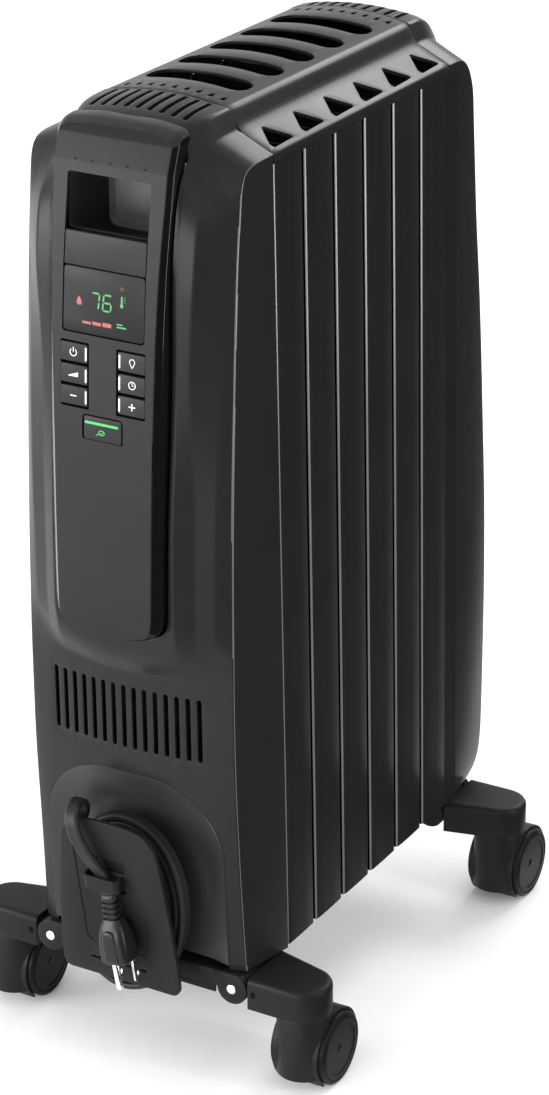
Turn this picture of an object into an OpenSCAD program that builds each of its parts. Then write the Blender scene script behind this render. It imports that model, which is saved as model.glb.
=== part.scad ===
// Oil filled radiator heater on folding castor arms.
// X is the width, the control panel faces -Y, Z is up, the floor is Z = 0.

/* [Fin stack] */
// Distance from one oil filled element to the next
fin_pitch = 38.2; // [36:0.2:40]
// Half width of the stack where the top grille sits on it
fin_half_top = 73.8; // [72:0.2:75]
// Half width of the stack at its lower edge
fin_half_bottom = 85; // [84:0.2:86]
// Height of the lower edge of the fins
fin_bottom_z = 82; // [82:0.5:86]
// Height of the upper edge of the fins
fin_top_z = 610; // [606:0.5:612]
// Gap between the back edge of one side panel and the next fold
panel_gap = 2.4; // [1.6:0.2:4]
// Height of the lower oil collector
lower_hub_z = 130; // [126:1:140]
// Height of the upper oil collector
upper_hub_z = 562; // [550:1:566]

/* [Covers] */
// Height of the crown of the grille and both covers
crown_z = 645; // [644:0.5:648]
// Height of the folded lip edge where the crown ends
crest_z = 640; // [638:0.5:641]
// Half width of the crown
crest_half = 44; // [43:0.5:46]
// Wall thickness of the covers
cover_wall = 2.6; // [2:0.1:3.2]
// Height of the underside of both covers
cover_bottom_z = 80; // [80:0.5:81]
// Reach of the front cover's lower face in front of the stack
front_face_depth = 61; // [58:0.5:63]
// Reach of the rear cover's face behind the stack
rear_face_depth = 78.5; // [76:0.5:80]

/* [Control panel] */
// Half width of the hand hold
hold_half = 29; // [26:0.5:30]
// Depth of the hand hold behind the panel's face
hold_depth = 56; // [45:1:58]
// Height of the hand hold's lower lip
hold_low_z = 574; // [572:0.5:576]
// Height of the hand hold's upper edge
hold_high_z = 608.5; // [606:0.5:610]
// Travel of every push button
button_travel = 1.2; // [0.8:0.1:1.4]

/* [Cord] */
// Width of the flat three core cord
cord_w = 9.6; // [8:0.2:10]
// Thickness of the flat three core cord
cord_t = 5; // [4.4:0.2:5.4]
// Forward lean of the cord plate
plate_lean = 7.3; // [6:0.1:8]

/* [Castors] */
// Radius of a wheel
wheel_r = 25; // [24:0.5:25]
// Width of one wheel
wheel_w = 12.4; // [11:0.2:12.6]
// Distance of a castor's swivel axis from the middle plane
swivel_x = 112.5; // [111:0.5:114]
// Distance of a castor's swivel axis from the nearer cover seam
swivel_reach = 28.6; // [28:0.2:30]
// Distance of the wheel axle behind the swivel axis
trail = 15; // [14:0.5:16]
// Distance of a folding arm's hinge from the middle plane
hinge_x = 69.7; // [69:0.1:70.5]
// Height of a folding arm's hinge
hinge_z = 68.7; // [68.2:0.1:69]
// Thickness of a folding arm
arm_t = 22; // [21.5:0.1:22.5]
// Half width of a folding arm at its round end
arm_half = 19; // [18:0.5:20]

/* [Hidden] */
$fn = 48;
fin_count = 7;
eps = 0.01;

// The cord clip reaches furthest forward and the rear cover furthest back,
// and the origin lies half way between them.
plate_low_z = 66;
plate_low_reach = 69.7;
clip_proud = 8.2;
clip_top = 85;
clip_reach = plate_low_reach + clip_proud * cos(plate_lean) + clip_top * sin(plate_lean);
stack_y = round((clip_reach - rear_face_depth) * 5) / 10;
front_seam_y = stack_y - fin_pitch * (fin_count - 1) / 2;
rear_seam_y = stack_y + fin_pitch * (fin_count - 1) / 2;
function fin_y(i) = front_seam_y + fin_pitch * (i - 1);
function fin_half(z) = fin_half_bottom
    + (fin_half_top - fin_half_bottom) * (z - fin_bottom_z) / (fin_top_z - fin_bottom_z);

// Outer grille section: edge of the crown, foot of the steep bevel, outer edge of the slope.
foot_half = 49.7;
foot_z = 627.8;
slope_half = 74;
slope_z = 616.4;
function crown(x) = crown_z - (crown_z - crest_z) * pow(x / crest_half, 2);

paint = [0.10, 0.10, 0.11];
plastic = [0.13, 0.13, 0.14];
dark = [0.05, 0.05, 0.055];
metal = [0.75, 0.76, 0.78];

// A plate drawn in X and Z that reaches from y to y + t.
module xz_plate(y, t) {
    translate([0, y + t, 0]) rotate([90, 0, 0]) linear_extrude(t) children();
}

// A profile drawn in Y and Z that reaches from x to x + w.
module yz_bar(x, w) {
    translate([x, 0, 0]) rotate([90, 0, 90]) linear_extrude(w) children();
}

// A cylinder along Y from y to y + l.
module y_rod(x, y, z, r, l) {
    translate([x, y, z]) rotate([-90, 0, 0]) cylinder(r = r, h = l);
}

// A rectangle with round corners, drawn without offset so that it stays exact.
module round_rect(x0, y0, x1, y1, r) {
    translate([x0 + r, y0]) square([x1 - x0 - 2 * r, y1 - y0]);
    translate([x0, y0 + r]) square([x1 - x0, y1 - y0 - 2 * r]);
    for (x = [x0 + r, x1 - r], y = [y0 + r, y1 - r]) translate([x, y]) circle(r);
}

/* ---------- Fin stack ---------- */

hub_r = 19;
hub_bore_r = 13;
sheet_t = 1.6;
channel_x = 36;
channel_half = 13;
channel_t = 12;

// Side panel folded back from the element's edge.
module side_panel(i, side) {
    depth = fin_pitch - panel_gap;
    xz_plate(fin_y(i), depth) polygon([
        [side * fin_half_bottom, fin_bottom_z],
        [side * (fin_half_bottom - sheet_t), fin_bottom_z],
        [side * (fin_half_top - sheet_t), fin_top_z],
        [side * fin_half_top, fin_top_z]]);
}

// Oil channels stamped in the element: two risers joined at both collectors.
module oil_channels(i) {
    xz_plate(fin_y(i) + 1, channel_t) {
        for (s = [-1, 1])
            round_rect(s * channel_x - channel_half, lower_hub_z - 14,
                s * channel_x + channel_half, upper_hub_z + 14, 12);
        for (z = [lower_hub_z, upper_hub_z]) {
            translate([-channel_x, z - 12]) square([2 * channel_x, 24]);
            translate([0, z]) circle(hub_r + 4);
        }
    }
}

module fin(i) {
    inset = i == fin_count ? cover_wall + 0.8 : 0;
    color(paint) difference() {
        union() {
            // The last element stands inside the rear cover.
            xz_plate(fin_y(i), sheet_t) polygon([
                [-fin_half_bottom + inset, fin_bottom_z + inset],
                [fin_half_bottom - inset, fin_bottom_z + inset],
                [fin_half_top - inset, fin_top_z], [-fin_half_top + inset, fin_top_z]]);
            if (i < fin_count) for (s = [-1, 1]) side_panel(i, s);
            oil_channels(i);
            for (z = [lower_hub_z, upper_hub_z])
                y_rod(0, fin_y(i) - (i == 1 ? 0 : fin_pitch / 2), z, hub_r,
                    i == 1 ? fin_pitch / 2 : i == fin_count ? fin_pitch / 2 + 15 : fin_pitch);
        }
        for (z = [lower_hub_z, upper_hub_z])
            y_rod(0, fin_y(i) - fin_pitch, z, hub_bore_r, 2 * fin_pitch);
    }
}

// Screwed plugs that close the collectors, all but the one that holds the element.
module hub_plugs() {
    plug_l = 12;
    color(metal) {
        y_rod(0, front_seam_y - 4, upper_hub_z, 17, 4);
        y_rod(0, front_seam_y - 4, upper_hub_z, hub_bore_r, plug_l);
        for (z = [lower_hub_z, upper_hub_z]) {
            y_rod(0, rear_seam_y + 15, z, 17, 4);
            y_rod(0, rear_seam_y + 19 - plug_l, z, hub_bore_r, plug_l);
        }
    }
}

// Two sheathed rods in the lower collector on a round flange with its terminals.
module heating_element() {
    rod_l = fin_pitch * (fin_count - 1) - 12;
    color(metal) {
        y_rod(0, front_seam_y - 4, lower_hub_z, 17, 4);
        y_rod(0, front_seam_y - 4, lower_hub_z, hub_bore_r, 12);
        for (x = [-6, 6]) {
            y_rod(x, front_seam_y - 4, lower_hub_z, 4, rod_l);
            y_rod(x, front_seam_y - 14, lower_hub_z, 2, 12);
        }
    }
}

// Overheat cutout clamped to the front of the upper collector's riser.
module thermal_cutout() {
    color(metal) {
        y_rod(channel_x, front_seam_y - 9, 330, 8, 6);
        translate([channel_x - 12, front_seam_y - 3, 324]) cube([24, 3, 12]);
        for (x = [-5, 5])
            translate([channel_x + x - 1.5, front_seam_y - 16, 328]) cube([3, 8, 1]);
    }
}

/* ---------- Top grille ---------- */

crown_x = [for (i = [-8:8]) crest_half * i / 8];

// Section of the grille, moved inwards by t.
function grille_section(t) = concat(
    [[-fin_half_top + t, fin_top_z - (t > 0 ? 1 : 0)], [-slope_half + t, slope_z - t * 0.7],
        [-foot_half + t, foot_z - t * 0.8]],
    [for (x = crown_x) [x * (1 - t / crest_half), crown(x) - t]],
    [[foot_half - t, foot_z - t * 0.8], [slope_half - t, slope_z - t * 0.7],
        [fin_half_top - t, fin_top_z - (t > 0 ? 1 : 0)]]);

slot_half = 35.5;
slot_w = 22;
slot_r = 8;
small_slot_pitch = 8.4;
small_slot_y = 3.5 - fin_pitch * 3 + 6.5;

module top_grille() {
    grille_l = rear_seam_y - front_seam_y - 0.6;
    color(plastic) difference() {
        xz_plate(front_seam_y + 0.3, grille_l) difference() {
            polygon(grille_section(0));
            polygon(grille_section(cover_wall));
        }
        // Large slots over the gaps between the elements.
        for (i = [-2:2]) translate([0, stack_y + i * fin_pitch, 600])
            linear_extrude(60) round_rect(-slot_half, -slot_w / 2, slot_half, slot_w / 2, slot_r);
        // Rows of small holes next to both covers.
        for (i = [-4:4], s = [-1, 1])
            translate([i * small_slot_pitch - 1.5, stack_y + s * -small_slot_y - 3, 600])
                cube([3, 6, 60]);
        // Triangular vents in both slopes.
        for (i = [-2.5:1:2.5], s = [-1, 1]) translate([0, stack_y + i * fin_pitch, 600])
            linear_extrude(60) polygon([[s * 54.5, 0], [s * 69, 13.5], [s * 70, 11.5],
                [s * 70, -9], [s * 67.5, -11.5]]);
    }
}

/* ---------- Covers ---------- */

// Each station lists, from the bottom edge up and over the top to the seam:
// [edge z, edge reach, foot x, foot z, foot reach, crest x, crest z, crest reach,
//  middle z, middle reach]. A reach is measured from the seam.
front_stations = [
    [80, 40, 62, 80, 44, 40, 80, 47, 80, 49],
    [150, 45.5, 62, 150, 50, 40, 150, 54, 150, 56],
    [224, 50.5, 62, 224, 54, 40, 224, 58, 224, 60.5],
    [268, 51.3, 62, 268, 54.5, 40, 268, 58.5, 268, 61],
    [284, 51.5, 62, 282, 55, 42, 282, 59, 284, 61.5],
    [296, 51.5, 62, 296, 55, 45, 294, 62, 290, 64],
    [308, 51.5, 62, 308, 55.5, 46, 308, 71, 304, 73],
    [330, 51.5, 62, 330, 55.5, 47, 326, 78, 318, 78.5],
    [377, 50.5, 64, 377, 54, 47, 377, 76, 377, 76],
    [447, 48, 66, 447, 50.5, 47, 447, 72, 447, 72],
    [508, 45, 58, 508, 49.5, 46, 508, 68, 508, 68],
    [564, 41.5, 49.5, 564, 47.5, 45, 564, 61.5, 564, 61.5],
    [592, 38, 48.5, 604, 45, 44.5, 604, 54, 622, 54],
    [606, 33, 48.8, 614, 41.5, 44.3, 617, 47.5, 637.5, 47.5],
    [613, 26, 49.2, 622, 35, 44.2, 627, 40, 640.5, 41],
    [616.4, 17, 49.5, 626.5, 24, 44, 635, 30, 643, 30],
    [616.4, 8, 49.7, 627.8, 12, 44, 639.5, 15, 644.5, 15],
    [616.4, -6, 49.7, 627.8, -6, 44, 640, -6, 645, -6]];
rear_stations = [
    [80, 52, 62, 80, 57, 40, 80, 61, 80, 63],
    [90, 63, 62, 90, 68, 40, 90, 71, 90, 73],
    [110, 69, 62, 110, 72.5, 40, 110, 76, 110, 78],
    [200, 69, 62, 200, 73, 40, 200, 76.5, 200, 78.5],
    [271, 67.5, 62, 271, 71.5, 42, 271, 76, 271, 78],
    [360, 61.5, 60, 360, 66, 43, 360, 72.5, 360, 74],
    [440, 54, 57, 440, 58.5, 44, 440, 67, 440, 68],
    [507, 46, 53, 507, 51, 44.5, 507, 60.5, 507, 61],
    [564, 40, 49.8, 564, 45.5, 44.5, 564, 55, 564, 55],
    [592, 36.5, 49, 604, 40.5, 44.5, 604, 46, 604, 46.5],
    [606, 32, 49, 616, 36, 44.3, 619, 39, 622, 39.5],
    [614, 24, 49.4, 624, 28, 44.2, 631, 30, 636, 30],
    [616.4, 12, 49.7, 627.5, 14, 44, 639, 15, 644, 15],
    [616.4, -6, 49.7, 627.8, -6, 44, 640, -6, 645, -6]];

edge_half = 75;
// The half width of the cover's long edge: it spreads a little towards the floor
// and closes to the grille's own width at the top.
function edge_x(z) = z > 600 ? slope_half : edge_half + (z < 150 ? (150 - z) * 0.02 : 0);

// The covers are first built a little past the seam and then cut at it.
over = 6;
function seam_half(z, reach) = let (h = fin_half(z))
    h + (h - edge_half) * over / max(reach, 30);

// Heights on the seam of the rows that run over the top, k rows before the last.
function seam_z(k) = slope_z - 0.4 - 4.4 * k;

// One row of points across a cover, from the right seam to the left seam.
function station_row(s, t, k) = let (
        top = s[8] > 600,
        lift = top ? t : 0,
        up = max(s[0], cover_bottom_z) + (s[0] <= cover_bottom_z ? t : 0),
        low = s[0] <= cover_bottom_z ? t : 0,
        half = [
            [seam_half(top ? fin_top_z : up, s[1]) - t, -over - t,
                (s[0] > 600 ? seam_z(k) : up) - lift],
            [edge_x(s[0]) - t, s[1] - t, s[0] + low - lift],
            [s[2] - t, s[4] - t, s[3] + low - lift],
            [s[5] - t, s[7] - t, s[6] + low - lift],
            for (k = [0.9, 0.5]) [(s[5] - t) * k,
                s[9] - t - (s[9] - s[7]) * k * k, top ? s[8] - 5 * k * k - t
                    : s[8] + (s[6] - s[8]) * k * k + low]])
    concat(half, [[0, s[9] - t, s[8] + low - lift]],
        [for (i = [len(half) - 1:-1:0]) [-half[i][0], half[i][1], half[i][2]]]);

// A closed solid between a cover's outside, moved inwards by t, and its seam plane.
// side is -1 for the front cover and 1 for the rear one.
module cover_solid(stations, seam_y, side, t) {
    m = len(stations);
    rows = [for (j = [0:m - 1]) station_row(stations[j], t, m - 1 - j)];
    n = len(rows[0]);
    points = [for (r = rows, p = r) [p[0], seam_y + side * p[1], p[2]]];
    skin = [for (j = [0:m - 2], i = [0:n - 2]) each [
        [j * n + i, j * n + i + 1, (j + 1) * n + i + 1],
        [j * n + i, (j + 1) * n + i + 1, (j + 1) * n + i]]];
    floor_face = [[for (i = [n - 1:-1:0]) i]];
    seam_face = [concat([for (j = [0:m - 1]) j * n], [for (i = [1:n - 1]) (m - 1) * n + i],
        [for (j = [m - 2:-1:0]) j * n + n - 1])];
    faces = concat(skin, floor_face, seam_face);
    polyhedron(points, side < 0 ? faces : [for (f = faces) [for (k = [len(f) - 1:-1:0]) f[k]]]);
}

module cover_shell(stations, seam_y, side) {
    difference() {
        cover_solid(stations, seam_y, side, 0);
        cover_solid(stations, seam_y, side, cover_wall);
        translate([-100, side < 0 ? seam_y : seam_y - 50, 0]) cube([200, 50, 700]);
    }
}

// Outline of the opening that holds the control panel.
module panel_outline(grow) {
    polygon([[-39.5 - grow, 650], [-39.5 - grow, 610], [-34.5 - grow, 440],
        [-33.5 - grow, 330], [-30 - grow, 322 - grow], [-16, 317.5 - grow],
        [0, 316 - grow], [16, 317.5 - grow], [30 + grow, 322 - grow],
        [33.5 + grow, 330], [34.5 + grow, 440], [39.5 + grow, 610], [39.5 + grow, 650]]);
}

// Arch of the niche behind the cord plate.
module niche_outline(shrink) {
    difference() {
        union() {
            translate([-66 + shrink, 60]) square([132 - 2 * shrink, 95]);
            intersection() {
                translate([0, 155]) circle(66 - shrink);
                translate([-66, 150]) square([132, 60 - shrink]);
            }
        }
        translate([-70, 50]) square([140, 40 + shrink]);
    }
}

louvre_pitch = 7.55;
niche_depth = 22;

module front_cover() {
    color(plastic) {
        difference() {
            cover_shell(front_stations, front_seam_y, -1);
            xz_plate(front_seam_y - 100, 100 - 48) panel_outline(0.4);
            translate([-40.5, front_seam_y - 60, 612]) cube([81, 60 - 45, 40]);
            xz_plate(front_seam_y - 100, 70) niche_outline(0);
            // Slot for the bracket's lug.
            translate([-30.4, front_seam_y - 3.4, 70]) cube([60.8, 10, 20]);
            // Louvre of upright slots under the panel.
            for (i = [-7:7]) translate([i * louvre_pitch - 1.4, front_seam_y - 80, 232])
                cube([2.8, 40, 44]);
            // Slots in the top, in front of the grille.
            for (i = [-4:4]) translate([i * 8.1 - 1.5, front_seam_y - 30, 615])
                cube([3, 27, 40]);
        }
        // Back wall and rim of the niche.
        niche_y = front_seam_y - front_face_depth + niche_depth;
        xz_plate(niche_y, cover_wall) niche_outline(0);
        xz_plate(niche_y - 10, 10) difference() {
            niche_outline(0);
            niche_outline(cover_wall);
        }
    }
}

module rear_cover() {
    color(plastic) difference() {
        cover_shell(rear_stations, rear_seam_y, 1);
        // Slot for the bracket's lug.
        translate([-30.4, rear_seam_y - 5, 70]) cube([60.8, 10, 20]);
        for (i = [-4:4]) translate([i * 8.1 - 1.5, rear_seam_y + 3, 615]) cube([3, 27, 40]);
        for (i = [-7:7]) translate([i * louvre_pitch - 1.4, rear_seam_y + 40, 232])
            cube([2.8, 60, 44]);
    }
}

/* ---------- Control panel ---------- */

// Face of the panel: height and reach in front of the seam.
panel_face = [[318, 79.8], [328, 81], [386, 80.2], [452, 78.2], [512, 75.6], [552, 72.4],
    [575, 69.5], [608, 65], [622, 61.5], [634, 55.5]];
panel_back = 11;
panel_skin = 3;
panel_top_reach = 45.3;
button_half_gap = 9.5;
button_reach = 30;
button_rows = [506, 492.3, 478.6, 465];

// Reach of the panel's face at a height.
function panel_reach(z) = lookup(z, panel_face);

// Side view of the panel between two depths under its face, with its bevelled top.
module panel_side_profile(front_gap, back_gap) {
    polygon(concat(
        [for (p = panel_face) [front_seam_y - p[1] + front_gap, p[0]]],
        [[front_seam_y - panel_top_reach, 639.2 - front_gap],
            [front_seam_y - panel_top_reach, 639.2 - back_gap]],
        [for (i = [len(panel_face) - 2:-1:0])
            [front_seam_y - panel_face[i][1] + back_gap, panel_face[i][0]]]));
}

module control_panel() {
    color(plastic) difference() {
        intersection() {
            yz_bar(-45, 90) panel_side_profile(0, panel_back);
            xz_plate(front_seam_y - 90, 60) panel_outline(0);
        }
        intersection() {
            yz_bar(-45, 90) panel_side_profile(panel_skin, panel_back + 30);
            xz_plate(front_seam_y - 90, 60) panel_outline(-panel_skin);
        }
        // Hand hold and the channel of the insert and the window.
        xz_plate(front_seam_y - 90, 60)
            round_rect(-hold_half, 511.5, hold_half, hold_high_z, 2.5);
        // Button openings.
        for (s = [-1, 1], i = [0:2])
            xz_plate(front_seam_y - 90, 60) translate([s > 0 ? button_half_gap : -button_reach,
                button_rows[i + 1] + 0.5])
                square([button_reach - button_half_gap, button_rows[i] - button_rows[i + 1] - 1]);
        xz_plate(front_seam_y - 90, 60) translate([-14.2, 446]) square([28.4, 15.6]);
        // Five small holes over the hand hold.
        for (i = [-2:2]) y_rod(i * 12.1, front_seam_y - 80, 615.7, 0.9, 40);
    }
}

// Pocket for the fingers, closed at the back.
module hand_hold() {
    face = panel_reach(hold_high_z) - 3.6;
    low = hold_low_z - 14;
    color(dark) difference() {
        translate([-hold_half - 1.6, front_seam_y - face, low - 1.6])
            cube([2 * hold_half + 3.2, hold_depth, hold_high_z - low + 3.2]);
        translate([-hold_half, front_seam_y - face - 10, hold_low_z])
            cube([2 * hold_half, hold_depth + 8, hold_high_z - hold_low_z]);
        translate([-hold_half, front_seam_y - face + 9, low])
            cube([2 * hold_half, hold_depth - 11, hold_low_z - low + 1]);
    }
}

// A tile that follows the panel's face between two heights.
module face_tile(z0, z1, half, t) {
    intersection() {
        yz_bar(-half, 2 * half) panel_side_profile(0.3, 0.3 + t);
        translate([-half, front_seam_y - 100, z0]) cube([2 * half, 100, z1 - z0]);
    }
}

module panel_insert() {
    color(plastic) face_tile(552.8, 573.8, hold_half - 0.4, 2.6);
}

module display_window() {
    color(dark) face_tile(512, 552.3, hold_half - 0.4, 2.6);
}

module display_board() {
    color("darkgreen") {
        translate([-27, front_seam_y - 68, 440]) cube([54, 1.6, 108]);
        for (z = [472, 504]) y_rod(0, front_seam_y - panel_reach(z) + panel_skin - 0.2, z, 2.4,
            panel_reach(z) - panel_skin - 67.5);
    }
}

module power_board() {
    color("darkgreen") {
        translate([-30, front_seam_y - 30, 240]) cube([60, 1.6, 120]);
        for (x = [-25, 25], z = [246, 354]) y_rod(x, front_seam_y - 28.5, z, 3, 28.5);
    }
    color(dark) {
        translate([-22, front_seam_y - 46, 255]) cube([18, 16, 20]);
        translate([2, front_seam_y - 46, 255]) cube([18, 16, 20]);
        translate([-20, front_seam_y - 48, 300]) cube([34, 18, 28]);
    }
}

// A push button with a stem behind it, s is -1 for the left column and 1 for the right.
module push_button(s, row) {
    z0 = button_rows[row + 1] + 0.8;
    z1 = button_rows[row] - 0.8;
    x0 = s > 0 ? button_half_gap + 0.3 : -button_reach + 0.3;
    w = button_reach - button_half_gap - 0.6;
    reach = panel_reach((z0 + z1) / 2) + 0.5;
    color(plastic) {
        translate([x0, front_seam_y - reach, z0]) cube([w, 3.4, z1 - z0]);
        translate([x0 + w / 2 - 2, front_seam_y - reach + 3.4, (z0 + z1) / 2 - 2])
            cube([4, 4 - button_travel, 4]);
    }
}

module button_power() { push_button(-1, 0); }
module button_level() { push_button(-1, 1); }
module button_minus() { push_button(-1, 2); }
module button_frost() { push_button(1, 0); }
module button_timer() { push_button(1, 1); }
module button_plus() { push_button(1, 2); }

module button_eco() {
    reach = panel_reach(454) + 0.5;
    color(plastic) {
        translate([-13.9, front_seam_y - reach, 446.3]) cube([27.8, 3.4, 15]);
        translate([-2, front_seam_y - reach + 3.4, 451]) cube([4, 4 - button_travel, 4]);
    }
}

/* ---------- Cord storage ---------- */

plate_t = 3.4;
niche_wall_y = front_seam_y - front_face_depth + niche_depth;

// Outline of the cord plate: a narrow round top and a wide foot.
module plate_outline() {
    polygon([[-41, 0], [-43.5, 4], [-44, 22], [-41.7, 52], [-38, 86], [-34, 104], [-29, 114],
        [-20, 120], [-8, 122], [8, 122], [20, 120], [29, 114], [34, 104], [38, 86], [41.7, 52],
        [44, 22], [43.5, 4], [41, 0]]);
}

// Everything in the leaning plane of the plate, with z = 0 at its foot.
module at_plate() {
    translate([0, front_seam_y - plate_low_reach, plate_low_z]) rotate([plate_lean, 0, 0])
        children();
}

module cord_plate() {
    color(plastic) at_plate() difference() {
        xz_plate(0, plate_t) plate_outline();
        // Slots above and below the clip.
        xz_plate(-5, 15) {
            translate([-18, 86]) square([28, 9]);
            translate([-18, 70.5]) square([28, 3.5]);
        }
        // Long thin slot near the foot.
        xz_plate(-5, 15) translate([-22, 12.5]) square([42, 1.6]);
    }
}

// An egg: half width w, its top and bottom at these distances from the centre height z.
module egg(z, w, top, bottom) {
    polygon([for (k = [0:47]) let (c = cos(k * 7.5))
        [w * sin(k * 7.5), z + (c > 0 ? top : bottom) * c]]);
}

// Post that carries the plate and holds the windings.
module wrap_post() {
    color(plastic) intersection() {
        xz_plate(niche_wall_y - 60, 60) egg(131.8, 20.4, 31, 31);
        at_plate() translate([-50, plate_t, -20]) cube([100, 80, 200]);
    }
}

// Strap across the front of the plate that holds the cord near its plug.
module cord_clip() {
    color(plastic) at_plate() difference() {
        translate([-17, -clip_proud, clip_top - 10]) cube([26, clip_proud, 10]);
        translate([-14.6, 2.2 - clip_proud, clip_top - 15]) cube([21.2, 10, 20]);
    }
}

// Sleeve on the floor of the niche: the cord leaves upwards through it.
module cord_gland() {
    color(dark) translate([gland_x, front_seam_y - 49.3, 92.6]) {
        translate([-7, -5.2, 0]) cube([14, 15.5, 2.4]);
        cylinder(r1 = 5.6, r2 = 4.9, h = 25.4);
    }
}

gland_x = -46;
wind_z = 125;
wind_half = 25.5;
wind_high = 41.5;
turns = 5;

// Wound cord: turns on each other round the post behind the plate, two more behind them
// that start at the sleeve, and the last turn hanging lower than the others.
module cord_coil() {
    grow = cord_t * (turns - 0.5);
    color(dark) {
        xz_plate(front_seam_y - 65.3, 9.6) difference() {
            egg(wind_z, wind_half + grow, wind_high + grow, wind_high + grow);
            egg(wind_z, wind_half - cord_t / 2, wind_high - cord_t / 2, wind_high - cord_t / 2);
        }
        xz_plate(front_seam_y - 66, 6.6) difference() {
            egg(wind_z, wind_half + grow, wind_high, 69.5);
            egg(wind_z, wind_half + grow - cord_t, wind_high, 59.5);
            translate([-60, wind_z - 30]) square([120, 100]);
        }
        xz_plate(front_seam_y - 55.9, 9.9) {
            difference() {
                egg(134, 35, 41, 41);
                egg(134, 25, 31, 35);
            }
            polygon([[gland_x - 2.5, 118], [gland_x + 2.5, 118], [-40, 134], [-28, 148],
                [-30, 156]]);
        }
    }
}

// Route of the cord from the windings, over the plate and down to the plug.
cord_route = [[-30, -64.5, 181], [-27.4, -71, 190.5], [-25.4, -79, 194.4],
    [-23.8, -86, 193.2], [-22, -90.6, 187.6], [-19, -91.4, 178.5], [-15, -89.8, 169],
    [-9.5, -86.4, 158], [-5, -83.2, 150.5], [-2.6, -82.6, 145], [-0.8, -82.3, 140],
    [1, -84.5, 136.5]];

function unit(v) = v / norm(v);
function turn_at(p, i) = unit(p[min(i + 1, len(p) - 1)] - p[max(i - 1, 0)]);

// A flat tube along a route: an oval ring at each point, wide across the route.
module flat_tube(route, w, t) {
    sides = 10;
    m = len(route);
    points = [for (i = [0:m - 1]) let (d = turn_at(route, i),
        across = unit([1, 0, 0] - d * d[0]), out = cross(d, across))
        for (k = [0:sides - 1]) route[i] + across * w / 2 * cos(360 * k / sides)
            + out * t / 2 * sin(360 * k / sides)];
    walls = [for (i = [0:m - 2], k = [0:sides - 1]) let (k2 = (k + 1) % sides) each [
        [i * sides + k, (i + 1) * sides + k, (i + 1) * sides + k2],
        [i * sides + k, (i + 1) * sides + k2, i * sides + k2]]];
    polyhedron(points, concat(walls, [[for (k = [0:sides - 1]) k]],
        [[for (k = [sides - 1:-1:0]) (m - 1) * sides + k]]));
}

module cord_tube() {
    color(dark) flat_tube([for (p = cord_route) [p[0], front_seam_y + p[1], p[2]]],
        cord_w, cord_t);
}

// The plug hangs from the end of the route, a little aslant.
module at_plug() {
    translate([1, front_seam_y - 84.5, 136.5]) rotate([0, -10, 0]) children();
}

module plug_body() {
    color(dark) at_plug() {
        translate([-5.5, -4, -16]) cube([11, 8, 16]);
        hull() {
            translate([-6.5, -5, -17]) cube([13, 10, 2]);
            translate([-10.5, -10, -45]) cube([21, 19.5, 13]);
        }
    }
}

module plug_prongs() {
    color(metal) at_plug() {
        // Two flat blades and the round earth pin, 11.9 mm in front of them.
        for (x = [-6.35, 6.35]) translate([x - 0.75, 2.65, -62]) cube([1.5, 6.3, 17]);
        translate([0, -6.1, -64]) cylinder(r = 2.4, h = 19);
    }
}

/* ---------- Folding arms and castors ---------- */

swivel_y_front = front_seam_y - swivel_reach;
swivel_y_rear = rear_seam_y + swivel_reach;
arm_low_z = hinge_z - 11.7;
arm_high_z = arm_low_z + arm_t;
ear_r = 11;
ear_t = 6;
pin_r = 3.5;
fit = 0.05;
gap = 0.4;
inner_half = 27;
stem_r = 5;
arm_chamfer = 5;

// Places a corner's parts, drawn for the front right corner with the swivel axis at x, y = 0.
module corner(side, end) {
    translate([side * swivel_x, end < 0 ? swivel_y_front : swivel_y_rear, 0])
        mirror([side < 0 ? 1 : 0, 0, 0]) children();
}

// As corner, but also mirrored front to back, for the arms, which flare towards the fins.
module arm_corner(side, end) {
    corner(side, end) mirror([0, end > 0 ? 1 : 0, 0]) children();
}

hinge_dx = hinge_x - swivel_x;

// Outline of an arm in plan, moved inwards by t.
module arm_outline(t) {
    circle(arm_half - t);
    translate([hinge_dx - 11, -arm_half + t]) square([-hinge_dx + 11, 2 * (arm_half - t)]);
    polygon([[4, arm_half - t], [-30, inner_half - t], [hinge_dx - 11, inner_half - t],
        [hinge_dx - 11, 0], [4, 0]]);
}

module arm_body() {
    difference() {
        union() {
            translate([0, 0, arm_low_z]) linear_extrude(arm_t - arm_chamfer) arm_outline(0);
            hull() {
                translate([0, 0, arm_high_z - arm_chamfer - eps]) linear_extrude(eps)
                    arm_outline(0);
                translate([0, 0, arm_high_z - eps]) linear_extrude(eps)
                    arm_outline(arm_chamfer);
            }
        }
        // Room for the bracket's ears and for the end of the crossbar.
        y_rod(hinge_dx, -60, hinge_z, ear_r + gap, 120);
        translate([hinge_dx - 40, -60, 0]) cube([40, 120, 120]);
        // Swivel stem.
        translate([0, 0, arm_low_z - 1]) cylinder(r = stem_r + fit, h = 17);
    }
}

module arm() {
    tongue_y = -arm_half + ear_t + gap;
    tongue_l = arm_half + inner_half - 2 * (ear_t + gap);
    color(plastic) difference() {
        union() {
            arm_body();
            y_rod(hinge_dx, tongue_y, hinge_z, ear_r - 1, tongue_l);
            translate([hinge_dx, tongue_y, hinge_z - 6]) cube([14, tongue_l, 12]);
        }
        y_rod(hinge_dx, -60, hinge_z, pin_r + fit, 120);
    }
}

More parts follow.
